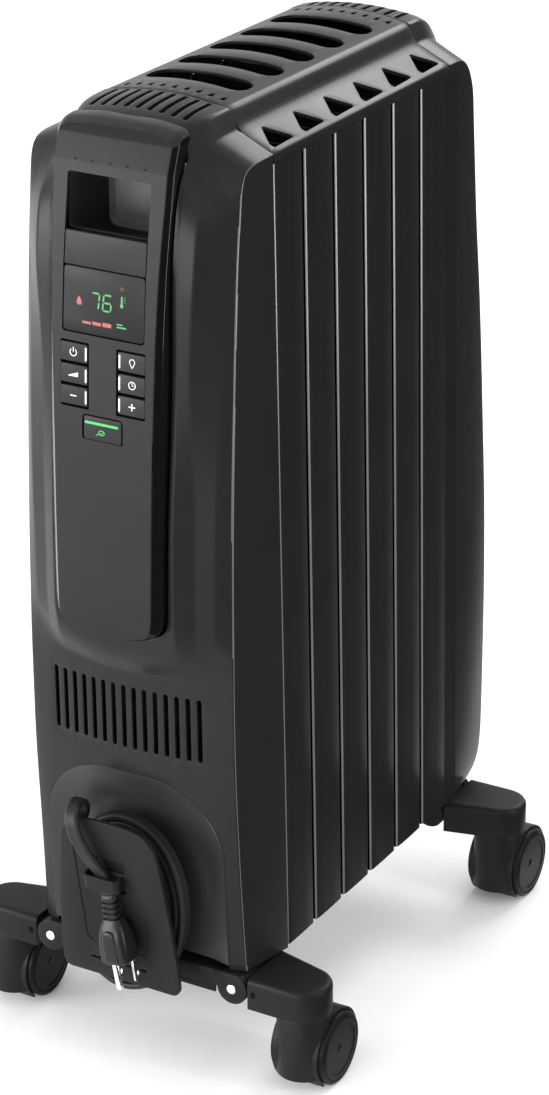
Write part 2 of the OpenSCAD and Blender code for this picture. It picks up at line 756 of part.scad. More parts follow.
// Crossbar under a cover, with two ears for each arm and a lug up to the collector.
module bracket(end) {
    seam = end < 0 ? front_seam_y : rear_seam_y;
    axis_y = end < 0 ? swivel_y_front : swivel_y_rear;
    color(plastic) difference() {
        union() {
            translate([0, axis_y, 0]) mirror([0, end > 0 ? 1 : 0, 0]) {
                // Web over the folded wheels, and a lip along both sides.
                translate([-57.6, -arm_half, 66.5]) cube([115.2, arm_half + inner_half, 13.5]);
                translate([-57.6, -arm_half, 63]) cube([115.2, 1.6, 4]);
                for (s = [-1, 1], y = [-arm_half, inner_half - ear_t]) {
                    y_rod(s * hinge_x, y, hinge_z, ear_r, ear_t);
                    translate([min(s * 56, s * hinge_x), y, hinge_z - 0.5])
                        cube([hinge_x - 56, ear_t, 80.5 - hinge_z]);
                }
            }
            // Lug behind the seam that is screwed to the end element.
            translate([-30, end < 0 ? seam - 2.8 : seam + 1.6, 76])
                cube([60, 2.8, lower_hub_z - 100]);
        }
        for (s = [-1, 1]) y_rod(s * hinge_x, -260, hinge_z, pin_r, 520);
    }
}

module front_bracket() { bracket(-1); }
module rear_bracket() { bracket(1); }

module hinge_pins(end) {
    axis_y = end < 0 ? swivel_y_front : swivel_y_rear;
    color(metal) translate([0, axis_y, 0]) mirror([0, end > 0 ? 1 : 0, 0])
        for (s = [-1, 1])
            y_rod(s * hinge_x, -arm_half - 0.8, hinge_z, pin_r, arm_half + inner_half + 1.2);
}

module hinge_pins_front() { hinge_pins(-1); }
module hinge_pins_rear() { hinge_pins(1); }

hood_r = 27.4;
hood_half = 16.6;
hood_web_half = 6.4;
hood_low_z = 4.5;
axle_r = 3;
collar_r = 17.6;

// Hood over both wheels, with the collar and the stem that turns in the arm.
module castor() {
    color(plastic) difference() {
        union() {
            translate([-hood_half, trail, wheel_r]) rotate([0, 90, 0])
                cylinder(r = hood_r, h = 2 * hood_half);
            translate([0, 0, 14]) cylinder(r = collar_r, h = arm_low_z - gap - 14);
            translate([0, 0, arm_low_z - 2]) cylinder(r = stem_r, h = 16);
        }
        for (s = [-1, 1]) translate([s > 0 ? hood_web_half : -hood_web_half - 20, trail, wheel_r])
            rotate([0, 90, 0]) cylinder(r = wheel_r + 0.6, h = 20);
        translate([-40, trail, wheel_r]) rotate([0, 90, 0]) cylinder(r = axle_r, h = 80);
        translate([-40, -60, hood_low_z - 20]) cube([80, 140, 20]);
    }
}

module axle() {
    color(metal) translate([-19, trail, wheel_r]) rotate([0, 90, 0])
        cylinder(r = axle_r, h = 38);
}

// s is 1 for the wheel on the outside of the castor and -1 for the one on the inside.
module wheel(s) {
    inner_x = hood_web_half + 0.5;
    color(dark) difference() {
        union() {
            translate([s * inner_x, trail, wheel_r]) rotate([0, s * 90, 0])
                cylinder(r = wheel_r, h = wheel_w);
            translate([s * (inner_x + wheel_w), trail, wheel_r]) rotate([0, s * 90, 0])
                cylinder(r = wheel_r - 1, h = 0.8);
        }
        translate([s * (inner_x - 1), trail, wheel_r]) rotate([0, s * 90, 0])
            cylinder(r = axle_r + fit, h = 13.4);
    }
}

fin(1);  // fin_1
fin(2);  // fin_2
fin(3);  // fin_3
fin(4);  // fin_4
fin(5);  // fin_5
fin(6);  // fin_6
fin(7);  // fin_7
hub_plugs();
heating_element();
thermal_cutout();
top_grille();
front_cover();
rear_cover();
control_panel();
hand_hold();
panel_insert();
display_window();
display_board();
power_board();
button_power();
button_level();
button_minus();
button_frost();
button_timer();
button_plus();
button_eco();
wrap_post();
cord_plate();
cord_clip();
cord_gland();
cord_coil();
cord_tube();
plug_body();
plug_prongs();
front_bracket();
rear_bracket();
hinge_pins_front();
hinge_pins_rear();
arm_corner(1, -1) arm();  // arm_front_right
arm_corner(-1, -1) arm();  // arm_front_left
arm_corner(1, 1) arm();  // arm_rear_right
arm_corner(-1, 1) arm();  // arm_rear_left
corner(1, -1) castor();  // castor_front_right
corner(-1, -1) castor();  // castor_front_left
corner(1, 1) castor();  // castor_rear_right
corner(-1, 1) castor();  // castor_rear_left
corner(1, -1) axle();  // axle_front_right
corner(-1, -1) axle();  // axle_front_left
corner(1, 1) axle();  // axle_rear_right
corner(-1, 1) axle();  // axle_rear_left
corner(1, -1) wheel(1);  // wheel_front_right_outer
corner(1, -1) wheel(-1);  // wheel_front_right_inner
corner(-1, -1) wheel(1);  // wheel_front_left_outer
corner(-1, -1) wheel(-1);  // wheel_front_left_inner
corner(1, 1) wheel(1);  // wheel_rear_right_outer
corner(1, 1) wheel(-1);  // wheel_rear_right_inner
corner(-1, 1) wheel(1);  // wheel_rear_left_outer
corner(-1, 1) wheel(-1);  // wheel_rear_left_inner
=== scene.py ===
# Looks of the oil filled radiator heater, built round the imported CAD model.
import math

import bmesh
import bpy
from mathutils import Matrix, Vector


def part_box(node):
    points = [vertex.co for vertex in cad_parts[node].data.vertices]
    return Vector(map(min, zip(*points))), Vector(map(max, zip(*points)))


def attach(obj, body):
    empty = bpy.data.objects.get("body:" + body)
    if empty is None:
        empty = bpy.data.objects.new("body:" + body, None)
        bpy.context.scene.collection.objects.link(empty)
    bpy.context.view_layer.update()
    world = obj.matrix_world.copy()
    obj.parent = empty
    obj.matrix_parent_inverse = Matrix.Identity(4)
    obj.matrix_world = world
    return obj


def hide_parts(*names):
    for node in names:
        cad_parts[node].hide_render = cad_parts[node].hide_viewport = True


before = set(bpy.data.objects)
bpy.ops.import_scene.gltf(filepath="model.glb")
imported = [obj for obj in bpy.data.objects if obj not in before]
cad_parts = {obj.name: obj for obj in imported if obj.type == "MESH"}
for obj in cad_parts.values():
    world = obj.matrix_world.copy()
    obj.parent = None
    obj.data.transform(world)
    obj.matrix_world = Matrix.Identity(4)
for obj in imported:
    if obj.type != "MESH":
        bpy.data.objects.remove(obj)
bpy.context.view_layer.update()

# Shapes below are written in millimetres and made in metres.
MM = 0.001
ROOT = "heater"

# Driving dimensions, read from the frame.
GRILLE_LOW, GRILLE_HIGH = ([v / MM for v in corner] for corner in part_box("top_grille"))
FRONT = GRILLE_LOW[1] - 0.3  # seam of the front cover
REAR = GRILLE_HIGH[1] + 0.3  # seam of the rear cover
MID_Y = (FRONT + REAR) / 2
PITCH = (REAR - FRONT) / 6  # from one element to the next
CROWN_Z = GRILLE_HIGH[2]

# ---- materials


def node(tree, kind, **inputs):
    """A shader node with some inputs set; an underscore in a name stands for a space."""
    made = tree.nodes.new("ShaderNode" + kind)
    for key, value in inputs.items():
        made.inputs[key.replace("_", " ")].default_value = value
    return made


def shader(name, base, rough, metallic=0.0, coat=0.0, spec=0.5):
    mat = bpy.data.materials.new(name)
    mat.use_nodes = True
    bsdf = mat.node_tree.nodes["Principled BSDF"]
    for key, value in {"Base Color": (*base, 1), "Roughness": rough, "Metallic": metallic,
                       "Specular IOR Level": spec, "Coat Weight": coat,
                       "Coat Roughness": 0.12}.items():
        bsdf.inputs[key].default_value = value
    return mat, mat.node_tree, bsdf


def noise(tree, scale, detail=3.0, rough=0.6, stretch=None):
    tex = node(tree, "TexNoise", Scale=scale, Detail=detail, Roughness=rough)
    where = node(tree, "TexCoord").outputs["Object"]
    if stretch:
        mapping = node(tree, "Mapping", Scale=stretch)
        tree.links.new(where, mapping.inputs["Vector"])
        where = mapping.outputs["Vector"]
    tree.links.new(where, tex.inputs["Vector"])
    return tex


def vary(tree, tex, target, low, high):
    """Maps a noise to a socket between two values."""
    ramp = node(tree, "MapRange", From_Min=0.35, From_Max=0.65, To_Min=low, To_Max=high)
    tree.links.new(tex.outputs["Fac"], ramp.inputs["Value"])
    tree.links.new(ramp.outputs["Result"], target)


def tint(tree, tex, target, dark, light):
    """Maps a noise to a colour between two shades."""
    ramp = node(tree, "ValToRGB")
    for stop, where, color in zip(ramp.color_ramp.elements, (0.3, 0.7), (dark, light)):
        stop.position = where
        stop.color = (*color, 1)
    tree.links.new(tex.outputs["Fac"], ramp.inputs["Fac"])
    tree.links.new(ramp.outputs["Color"], target)


def bump(tree, tex, bsdf, strength, distance):
    relief = node(tree, "Bump", Strength=strength, Distance=distance)
    tree.links.new(tex.outputs["Fac"], relief.inputs["Height"])
    tree.links.new(relief.outputs["Normal"], bsdf.inputs["Normal"])


def grained(name, grey, blue, rough, grain, depth, spread, spec=0.5, coat=0.0, green=None):
    """A nearly grey surface with a fine grain, slightly uneven gloss and handling marks."""
    base = (grey, grey if green is None else green, blue)
    mat, tree, bsdf = shader(name, base, rough, 0.0, coat, spec)
    bump(tree, noise(tree, grain, 2.0), bsdf, 0.35, depth * MM)
    vary(tree, noise(tree, 9.0, 4.0), bsdf.inputs["Roughness"], rough - spread, rough + spread)
    tint(tree, noise(tree, 23.0), bsdf.inputs["Base Color"],
         [c * 0.93 for c in base], [c * 1.07 for c in base])
    return mat


def brushed(name, grey, blue, rough):
    """Drawn metal, its noise stretched along Y."""
    mat, tree, bsdf = shader(name, (grey, grey, blue), rough, 1.0)
    tex = noise(tree, 1400.0, 3.0, 0.5, (1.0, 0.06, 1.0))
    vary(tree, tex, bsdf.inputs["Roughness"], rough - 0.08, rough + 0.1)
    bump(tree, tex, bsdf, 0.15, 0.02 * MM)
    return mat


def lamp(name, color, strength):
    """A lit segment or light bar."""
    mat, tree, bsdf = shader(name, color, 0.35)
    bsdf.inputs["Emission Color"].default_value = (*color, 1)
    bsdf.inputs["Emission Strength"].default_value = strength
    vary(tree, noise(tree, 1800.0), bsdf.inputs["Roughness"], 0.3, 0.42)
    return mat


# Grey, blue, roughness, scale of the grain, its depth, spread of the roughness, specular.
COVER = grained("cover_satin", 0.0135, 0.0141, 0.28, 1900, 0.04, 0.03, 0.13)
FIN = grained("fin_powder_coat", 0.0115, 0.0121, 0.36, 1500, 0.06, 0.03, 0.06)
# Painted shade: near black for the fin sheet between the elements.
SHADE = grained("fin_gap_shade", 0.0015, 0.0015, 0.8, 1500, 0.03, 0.03, 0.0)
# Painted highlight: a pale glossy copy of the fin paint for the front folds.
FOLD_PAINTED_HIGHLIGHT = grained("fin_fold_painted_highlight", 0.12, 0.123, 0.24, 1500, 0.03, 0.03, 0.8)
# Painted highlight: a pale glossy copy of the cover paint for the facet ridge.
EDGE_PAINTED_HIGHLIGHT = grained("cover_edge_painted_highlight", 0.10, 0.1025, 0.26, 1900, 0.03, 0.03, 0.8)
GRILLE = grained("grille_satin", 0.0135, 0.0141, 0.28, 1900, 0.04, 0.03, 0.13)
PANEL = grained("panel_satin", 0.0125, 0.0131, 0.38, 2600, 0.03, 0.03, 0.14)
GLOSS = grained("panel_gloss_edge", 0.004, 0.0044, 0.12, 3000, 0.01, 0.03, 0.2, coat=0.3)
BUTTON = grained("button_satin", 0.017, 0.0177, 0.4, 2600, 0.03, 0.03, 0.14)
RECESS = grained("recess_grain", 0.02, 0.021, 0.5, 2200, 0.06, 0.05, 0.2)
# Painted light: a pale copy of the pocket plastic for its back wall.
RECESS_BACK_PAINTED_LIGHT = grained("recess_back_painted_light", 0.22, 0.224, 0.5, 2200, 0.06, 0.05, 0.2)
# Painted light: the niche wall is paler than the cover it belongs to.
NICHE_PAINTED_LIGHT = grained("niche_painted_light", 0.026, 0.0268, 0.3, 1900, 0.04, 0.03, 0.35)
BASE = grained("base_grain", 0.0105, 0.011, 0.42, 2400, 0.06, 0.04, 0.12)
WHEEL = grained("wheel_grain", 0.007, 0.0074, 0.4, 2400, 0.05, 0.05, 0.1)
# Painted shade: near black for holes and pits.
PAINTED_SHADOW_GAP = grained("shadow_gap", 0.003, 0.003, 0.7, 2000, 0.04, 0.05, 0.05)
CORD = grained("cord_jacket", 0.014, 0.0147, 0.42, 3200, 0.05, 0.05, 0.2)
PLUG = grained("plug_vinyl", 0.010, 0.0106, 0.32, 2800, 0.05, 0.05, 0.25)
WINDOW = grained("window_smoked", 0.010, 0.0104, 0.3, 3000, 0.01, 0.03, 0.12)
PRINT = grained("printed_marks", 0.62, 0.60, 0.5, 3000, 0.01, 0.04)
# Painted shade: the boards behind the panel are nearly black, with a trace of green.
BOARD_PAINTED_SHADE = grained("board_painted_shade", 0.002, 0.003, 0.6, 900, 0.05, 0.08, 0.03, green=0.006)
PART = grained("board_parts", 0.02, 0.022, 0.4, 1500, 0.03, 0.05)
CHROME = brushed("plated_steel", 0.86, 0.87, 0.18)
STEEL = brushed("drawn_steel", 0.52, 0.54, 0.3)
GREEN = lamp("lit_green", (0.02, 0.30, 0.06), 0.38)
RED = lamp("lit_red", (0.24, 0.03, 0.03), 0.14)
FAINT = lamp("faint_green", (0.02, 0.20, 0.05), 0.16)
DIM_RED = lamp("dim_red", (0.10, 0.014, 0.012), 0.1)
PALE = lamp("light_bar", (0.55, 0.55, 0.52), 0.3)

# ---- mesh code


def mesh_object(name, shape):
    """An object from (points in mm, faces), its faces turned outwards."""
    points, faces = shape
    mesh = bpy.data.meshes.new(name)
    mesh.from_pydata([Vector(p) * MM for p in points], [], faces)
    bm = bmesh.new()
    bm.from_mesh(mesh)
    bmesh.ops.remove_doubles(bm, verts=bm.verts, dist=1e-7)
    bmesh.ops.recalc_face_normals(bm, faces=bm.faces)
    bm.to_mesh(mesh)
    bm.free()
    obj = bpy.data.objects.new(name, mesh)
    bpy.context.scene.collection.objects.link(obj)
    return obj


def shade(obj, angle=35.0):
    obj.data.shade_smooth()
    obj.data.set_sharp_from_angle(angle=math.radians(angle))


def make(name, shape, material, slot, body=ROOT, replaces=(), angle=35.0):
    """A piece of the object, riding on a body."""
    obj = mesh_object(name, shape)
    obj.data.materials.append(material)
    shade(obj, angle)
    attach(obj, body)
    if replaces:
        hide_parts(*replaces)
    return obj


def modify(obj, kind, **settings):
    """Adds a modifier and applies it."""
    mod = obj.modifiers.new("step", kind)
    for key, value in settings.items():
        setattr(mod, key, value)
    deps = bpy.context.evaluated_depsgraph_get()
    mesh = bpy.data.meshes.new_from_object(obj.evaluated_get(deps))
    obj.modifiers.clear()
    obj.data = mesh


def bevel(obj, width, segments=2):
    modify(obj, "BEVEL", width=width * MM, segments=segments, limit_method="ANGLE",
           angle_limit=math.radians(50), use_clamp_overlap=True)
    shade(obj)


def thicken(obj, wall, offset=-1.0):
    modify(obj, "SOLIDIFY", thickness=wall * MM, offset=offset, use_even_offset=True)
    shade(obj)


def cut(obj, shape, join=False):
    """Takes a closed shape out of obj, or adds it."""
    tool = mesh_object("tool", shape)
    modify(obj, "BOOLEAN", operation="UNION" if join else "DIFFERENCE", solver="EXACT",
           object=tool)
    shade(obj)
    bpy.data.objects.remove(tool)


def repaint(obj, material, test):
    """Another material for the faces whose middle (in mm) and normal pass a test."""
    obj.data.materials.append(material)
    for face in obj.data.polygons:
        if test(face.center / MM, face.normal):
            face.material_index = len(obj.data.materials) - 1


def group(*shapes):
    points, faces = [], []
    for pts, fcs in shapes:
        base = len(points)
        points += list(pts)
        faces += [[i + base for i in f] for f in fcs]
    return points, faces


def moved(shape, matrix):
    return [tuple(matrix @ Vector(p)) for p in shape[0]], shape[1]


def grid(rows, closed=False):
    """Quads between rows of points; closed joins each row's ends."""
    n = len(rows[0])
    points = [p for r in rows for p in r]
    span = n if closed else n - 1
    faces = [[j * n + i, j * n + (i + 1) % n, (j + 1) * n + (i + 1) % n, (j + 1) * n + i]
             for j in range(len(rows) - 1) for i in range(span)]
    return points, faces


def capped(rows):
    """A closed tube of rows of points with flat ends."""
    points, faces = grid(rows, True)
    n, m = len(rows[0]), len(rows)
    faces.append(list(range(n - 1, -1, -1)))
    faces.append([(m - 1) * n + i for i in range(n)])
    return points, faces


# Where the two numbers of an outline and a height go.
AXES = {"x": lambda u, v, h: (h, u, v), "y": lambda u, v, h: (u, h, v),
        "z": lambda u, v, h: (u, v, h)}


def prism(outline, low, high, axis="z"):
    """An outline pulled along an axis. The outline is in (x, y), (x, z) or (y, z)."""
    return capped([[AXES[axis](a, b, h) for a, b in outline] for h in (low, high)])


def rounded(corners, radius, steps=5):
    """A polygon with round corners. radius is one number or one for each corner."""
    out = []
    n = len(corners)
    for i, corner in enumerate(corners):
        r = radius[i] if isinstance(radius, (list, tuple)) else radius
        p = Vector(corner)
        a = Vector(corners[i - 1]) - p
        b = Vector(corners[(i + 1) % n]) - p
        turn = a.angle(b)
        if r <= 0 or turn > math.pi - 0.02:
            out.append(tuple(p))
            continue
        back = min(r / math.tan(turn / 2), a.length * 0.49, b.length * 0.49)
        r = back * math.tan(turn / 2)
        centre = p + (a.normalized() + b.normalized()).normalized() * (r / math.sin(turn / 2))
        start = p + a.normalized() * back - centre
        sweep = start.angle_signed(p + b.normalized() * back - centre)
        for k in range(steps + 1):
            t = -sweep * k / steps
            out.append((centre.x + start.x * math.cos(t) - start.y * math.sin(t),
                        centre.y + start.x * math.sin(t) + start.y * math.cos(t)))
    return out


def rect(x0, y0, x1, y1, r=0.0, steps=5):
    return rounded([(x0, y0), (x1, y0), (x1, y1), (x0, y1)], r, steps)


def block(x0, y0, z0, x1, y1, z1):
    return prism([(x0, y0), (x1, y0), (x1, y1), (x0, y1)], z0, z1)


def lathe(profile, axis="z", at=(0, 0, 0), steps=48):
    """(radius, height) points turned round an axis; the ends close on the axis."""
    turns = [2 * math.pi * k / steps for k in range(steps)]
    return capped([[tuple(Vector(AXES[axis](r * math.cos(a), r * math.sin(a), h)) + Vector(at))
                    for a in turns] for r, h in profile])


def spline(points, t):
    """Catmull-Rom through a list of equal length lists, t from 0 to len - 1."""
    i = min(int(t), len(points) - 2)
    f = t - i
    p1, p2 = points[i], points[i + 1]
    p0 = points[i - 1] if i > 0 else [2 * a - b for a, b in zip(p1, p2)]
    p3 = points[i + 2] if i + 2 < len(points) else [2 * b - a for a, b in zip(p1, p2)]
    out = []
    for a, b, c, d in zip(p0, p1, p2, p3):
        # Slopes limited so that the curve never overshoots its points.
        s1 = 0.0 if (b - a) * (c - b) <= 0 else 2 * (b - a) * (c - b) / (c - a)
        s2 = 0.0 if (c - b) * (d - c) <= 0 else 2 * (c - b) * (d - c) / (d - b)
        out.append((2 * f**3 - 3 * f**2 + 1) * b + (f**3 - 2 * f**2 + f) * s1
                   + (3 * f**2 - 2 * f**3) * c + (f**3 - f**2) * s2)
    return out


def soft_line(corners, radii, steps=4):
    """A line in space through corners, each rounded by a curve that starts radius before it."""
    out = [Vector(corners[0])]
    for i in range(1, len(corners) - 1):
        p = Vector(corners[i])
        a = Vector(corners[i - 1]) - p
        b = Vector(corners[i + 1]) - p
        start = p + a.normalized() * min(radii[i], a.length * 0.495)
        end = p + b.normalized() * min(radii[i], b.length * 0.495)
        for k in range(steps + 1):
            t = k / steps
            out.append(start * (1 - t) ** 2 + p * (2 * t * (1 - t)) + end * t**2)
    out.append(Vector(corners[-1]))
    return [tuple(v) for v in out]


# ---- covers

FIN_LOW_Z, FIN_HIGH_Z = 82.0, 610.0
FIN_LOW_HALF, FIN_HIGH_HALF = 85.0, 73.8


def fin_half(z):
    """Half width of the elements at a height."""
    t = (min(z, FIN_HIGH_Z) - FIN_LOW_Z) / (FIN_HIGH_Z - FIN_LOW_Z)
    return FIN_LOW_HALF + (FIN_HIGH_HALF - FIN_LOW_HALF) * t


def level(z, *line):
    """A row of a cover at one height: x and reach of each line in turn, then the middle's reach."""
    row = [z]
    for x, reach in zip(line[:-1:2], line[1::2]):
        row += [x, z, reach]
    return row + [z, line[-1]]


# Rows of a cover from its lower edge up and over the top to the seam. Each gives the seam's z,
# then x, z and reach of the edge, the crease, the foot, the crest and the shoulder, then the
# middle's z and reach. A reach is from the seam. The rear rows leave the crease out.
FRONT_ROWS = [
    level(80, 76.6, 40, 69, 42.4, 62, 44.5, 40, 47.2, 20, 49, 49.5),
    level(84, 76.6, 40.6, 69, 43, 62, 45.1, 40, 47.9, 20, 49.7, 50.2),
    level(150, 75.6, 45.5, 69, 47.9, 62, 50, 40, 53.5, 20, 55.3, 55.8),
    level(224, 75.2, 50.3, 69, 52.3, 62, 54, 40, 57.6, 20, 59.6, 60.2),
    level(268, 75, 51.3, 69, 53.1, 60, 55.3, 41, 58.4, 20, 60.4, 61),
    [284, 75, 284, 51.5, 68, 283.7, 53.3, 58, 283, 56.2, 42, 282, 58.9, 21, 281, 60.9, 281, 61.3],
    [292, 75, 292, 51.5, 66, 291.7, 54.1, 56, 290.5, 56.8, 42, 288.5, 59.2, 21, 286.5, 61.3, 286,
     61.8],
    [300, 75, 300, 51.5, 65, 301.5, 55.2, 54, 299, 58.9, 43, 296, 62, 22, 292, 63.8, 291.5, 64.2],
    [308, 74.9, 308, 51.5, 64, 310, 56.4, 54, 307.5, 61, 43.5, 304, 65.8, 24, 300, 67.4, 299, 67.8],
    [316, 74.9, 316, 51.4, 64.5, 317.5, 57.4, 54, 316, 62.4, 43, 314, 68.9, 26, 310, 69.6, 309, 70],
    level(328, 74.8, 51.3, 65.2, 57.8, 54, 63, 42.8, 71, 36, 68.6, 68.6),
    level(345, 74.7, 51.2, 65.5, 57.8, 54, 63, 42.8, 71.4, 36, 68.6, 68.6),
    level(377, 74.5, 50.6, 66, 57.6, 54, 62.8, 42.9, 71.2, 36, 68.6, 68.6),
    level(412, 74.3, 49.6, 66.8, 56.6, 54.5, 62, 43.2, 69.7, 36, 67, 67),
    level(447, 74.2, 48.2, 67.4, 55, 53, 62.4, 43.6, 67.6, 37, 65, 65),
    level(480, 74.1, 46.4, 68, 52.8, 52, 63.2, 44, 66, 37.5, 63.4, 63.4),
    level(508, 74, 45, 68.4, 50.6, 52.8, 63.4, 44.4, 65.2, 38, 62.6, 62.6),
    [536, 74, 536, 43.4, 69, 536, 48, 54.5, 536, 63.2, 44.6, 536, 64.8, 38, 538, 62.4, 538, 62.4],
    [560, 73.9, 560, 41.6, 69.4, 560, 46.4, 55.4, 561, 61.2, 45.4, 562, 62.8, 39, 566, 63.4, 572,
     62.8],
    [578, 73.9, 578, 39.9, 68, 579.5, 45.2, 55.4, 583, 57.4, 45.2, 584, 59.8, 40, 600, 59.4, 604,
     59],
    [588, 73.9, 593, 38.6, 66, 595.5, 42.6, 53.6, 599, 50.8, 44.6, 603, 55.2, 39.6, 622, 54.6,
     622.5, 54.6],
    [594, 73.9, 604, 37.2, 64, 607, 40.2, 51.6, 610.5, 44.6, 44.2, 615, 48.8, 39.3, 633, 47.6,
     636.5, 47.6],
    [600, 73.9, 611, 34.2, 62, 615, 36.2, 50.2, 619, 38.6, 44, 624, 41.5, 39.5, 636.6, 40.5,
     640.6, 40.8],
    [604, 73.9, 614.8, 28.6, 62, 619.4, 29.8, 49.7, 624.6, 31.4, 43.9, 633, 33, 39.6, 638.8, 33,
     642.6, 33.4],
    [608, 74, 616.1, 20.4, 62, 621.5, 21.4, 49.6, 627, 22.5, 43.9, 638, 23.5, 39.7, 640.3, 23.8,
     644, 24],
    [611.6, 74, 616.4, 10.6, 62, 622, 11, 49.6, 627.7, 11.6, 43.9, 639.6, 12.4, 39.8, 640.9, 12.8,
     644.8, 12.8],
    [616, 74, 616.4, 0.3, 62, 622.1, 0.3, 49.7, 627.8, 0.3, 43.9, 640, 0.3, 39.8, 640.9, 0.3, 645,
     0.3]]
REAR_ROWS = [
    level(80, 77, 50, 62, 55, 40, 58, 20, 60, 60.6),
    [84, 77, 83, 56, 62, 83, 60.5, 40, 83, 64, 20, 83, 66, 83, 66.6],
    [96, 77, 92, 64, 62, 91, 68.4, 40, 90, 71.6, 20, 90, 73.6, 90, 74],
    [116, 77, 114, 68, 62, 113, 72.2, 40, 112, 75.6, 20, 112, 77.6, 112, 78.2],
    level(200, 76.5, 69, 62, 73, 40, 76.2, 20, 77.9, 78.4),
    level(271, 76, 67.5, 62, 71.5, 42, 75.4, 20, 77.2, 77.8),
    level(360, 75, 61.5, 60, 66, 43, 72, 21, 73.6, 74),
    level(440, 74.5, 54, 57, 58.8, 44, 66.6, 22, 67.8, 68),
    level(507, 74, 45.8, 53, 51, 44.4, 60, 22, 60.8, 61),
    [564, 74, 564, 39.6, 49.8, 566, 45.6, 44.4, 566, 54.6, 22, 566, 55, 566, 55],
    [584, 74, 590, 36.8, 49, 598, 41.6, 44.2, 600, 48, 25, 604, 48.4, 604, 48.4],
    [592, 73.9, 601, 33.4, 49, 611, 37.4, 44.2, 617, 41, 30, 622, 41.2, 623.4, 41.2],
    [598, 73.9, 609, 28.6, 49.2, 619.6, 31.8, 44, 628.6, 33.6, 34, 633.2, 33.6, 636, 33.6],
    [604, 73.9, 614.4, 21.4, 49.5, 625.4, 23.8, 44, 636.4, 24.6, 36, 639.6, 24.6, 642.4, 24.6],
    [610, 74, 616.2, 11.6, 49.6, 627.5, 13, 43.9, 639.6, 13.4, 38, 641.1, 13.4, 644.8, 13.4],
    [616, 74, 616.4, 0.3, 49.7, 627.8, 0.3, 43.9, 640, 0.3, 38, 641.3, 0.3, 645, 0.3]]
ROUNDING = [0, 1.3, 1.8, 1.8, 1.6, 7, 14]  # of each line, from the seam to beside the middle
COVER_WALL = 2.2


def cover_row(row, seam, side):
    """One row of points across a cover, from its right seam to its left one."""
    if len(row) == 15:
        row = row[:4] + [(row[k] + row[k + 3]) / 2 for k in (1, 2, 3)] + row[4:]
    half = [(fin_half(row[0]) - 0.1, seam + side * 0.3, row[0])]
    half += [(row[k], seam + side * row[k + 2], row[k + 1]) for k in range(1, 16, 3)]
    beside, middle_z, middle_y = row[13] * 0.45, row[16], seam + side * row[17]
    drop = 5 * (beside / 44) ** 2 if middle_z > 600 else 0.0
    half.append((beside, middle_y, middle_z - drop))
    full = half + [(0, middle_y, middle_z)] + [(-x, y, z) for x, y, z in reversed(half)]
    return soft_line(full, ROUNDING + [20] + ROUNDING[::-1])


def cover_skin(rows, seam, side, steps):
    count = (len(rows) - 1) * steps
    return grid([cover_row(spline(rows, k / steps), seam, side) for k in range(count + 1)])


def panel_edge(z):
    """Half width of the panel's opening at a height."""
    table = [(316, 33.0), (330, 33.6), (440, 35.0), (540, 37.2), (610, 39.6), (640, 40.2)]
    for (z0, x0), (z1, x1) in zip(table, table[1:]):
        if z <= z1:
            return x0 + (x1 - x0) * (z - z0) / (z1 - z0)
    return table[-1][1]


PANEL_TOP = 633.6
PANEL_INSET = 0.7  # of the panel from its opening


def panel_ring(grow, top):
    """Right half of an outline round the panel, from its lower middle to its upper middle.

    Each point has how far it faces up and the height on the face that it belongs to."""
    sides = [(330, 334.0)] + [(z, z) for z in (*range(352, 612, 20), 612.0)]
    sides.append((620, PANEL_TOP - 1.0))
    line = [(-3.0, 317.4), (14.0, 317.9), (panel_edge(330) - 2.1, 322.6)]
    line += [(panel_edge(at) - PANEL_INSET, z) for at, z in sides]
    line += [(22.0, PANEL_TOP + 1.2), (-3.0, PANEL_TOP + 1.9)]
    radii = [0, 16, 7, 5] + [3] * (len(line) - 7) + [3, 7.0, 16, 0]
    half = [(x, z) for x, _, z in soft_line([(x, 0, z) for x, z in line], radii, 6)]
    half = [(max(x, 0.0), z) for x, z in half if x > -1.5]
    half[0] = (0.0, half[0][1])
    half[-1] = (0.0, half[-1][1])
    out = []
    for i, (x, z) in enumerate(half):
        x0, z0 = half[max(i - 1, 0)]
        x1, z1 = half[min(i + 1, len(half) - 1)]
        d = Vector((x1 - x0, z1 - z0)).normalized()
        n = Vector((d.y, -d.x))
        if i in (0, len(half) - 1):
            n = Vector((0, -1 if i == 0 else 1))
        up, low = max(0.0, n.y), max(0.0, -n.y)
        side = grow * (1 - 0.36 * max(0.0, min(1.0, (z - 450) / 150)))
        by = side * (1 - up - low) + top * up + grow * 0.5 * low
        out.append((x + n.x * by, z + n.y * by, up, z))
    return out


def panel_outline(grow, top):
    """Closed outline of the opening that the panel stands in."""
    half = panel_ring(grow, top)
    return [(x, z) for x, z, _, _ in half] + [(-x, z) for x, z, _, _ in reversed(half[1:-1])]


def niche_outline(side=0.0, top=0.0, low=60.0):
    """The arch round the wound cord, moved in at the sides and down at the top."""
    radius = min(54, 62 - side)
    return rounded([(-66 + side, low), (-66 + side, 214 - top), (66 - side, 214 - top),
                    (66 - side, low)], [0, radius, radius, 0], 14)


def cover_reach(x, z):
    """Reach of the lower front cover at a point, where its rows are level."""
    i = 0
    while z > FRONT_ROWS[i + 1][0]:
        i += 1
    low, high = FRONT_ROWS[i], FRONT_ROWS[i + 1]
    t = max(0.0, (z - low[0]) / (high[0] - low[0]))
    row = [a + (b - a) * t for a, b in zip(low, high)]
    line = [(row[k], row[k + 2]) for k in (1, 4, 7, 10, 13)] + [(0.0, row[17])]
    for (x0, d0), (x1, d1) in zip(line, line[1:]):
        if abs(x) >= x1:
            return d0 + (d1 - d0) * (min(abs(x), x0) - x0) / (x1 - x0)
    return line[-1][1]


LOUVRE_PITCH, LOUVRE_HALF, LOUVRE_LOW, LOUVRE_HIGH = 7.55, 1.65, 232, 276
VENT_PITCH, VENT_HALF = 8.1, 1.6


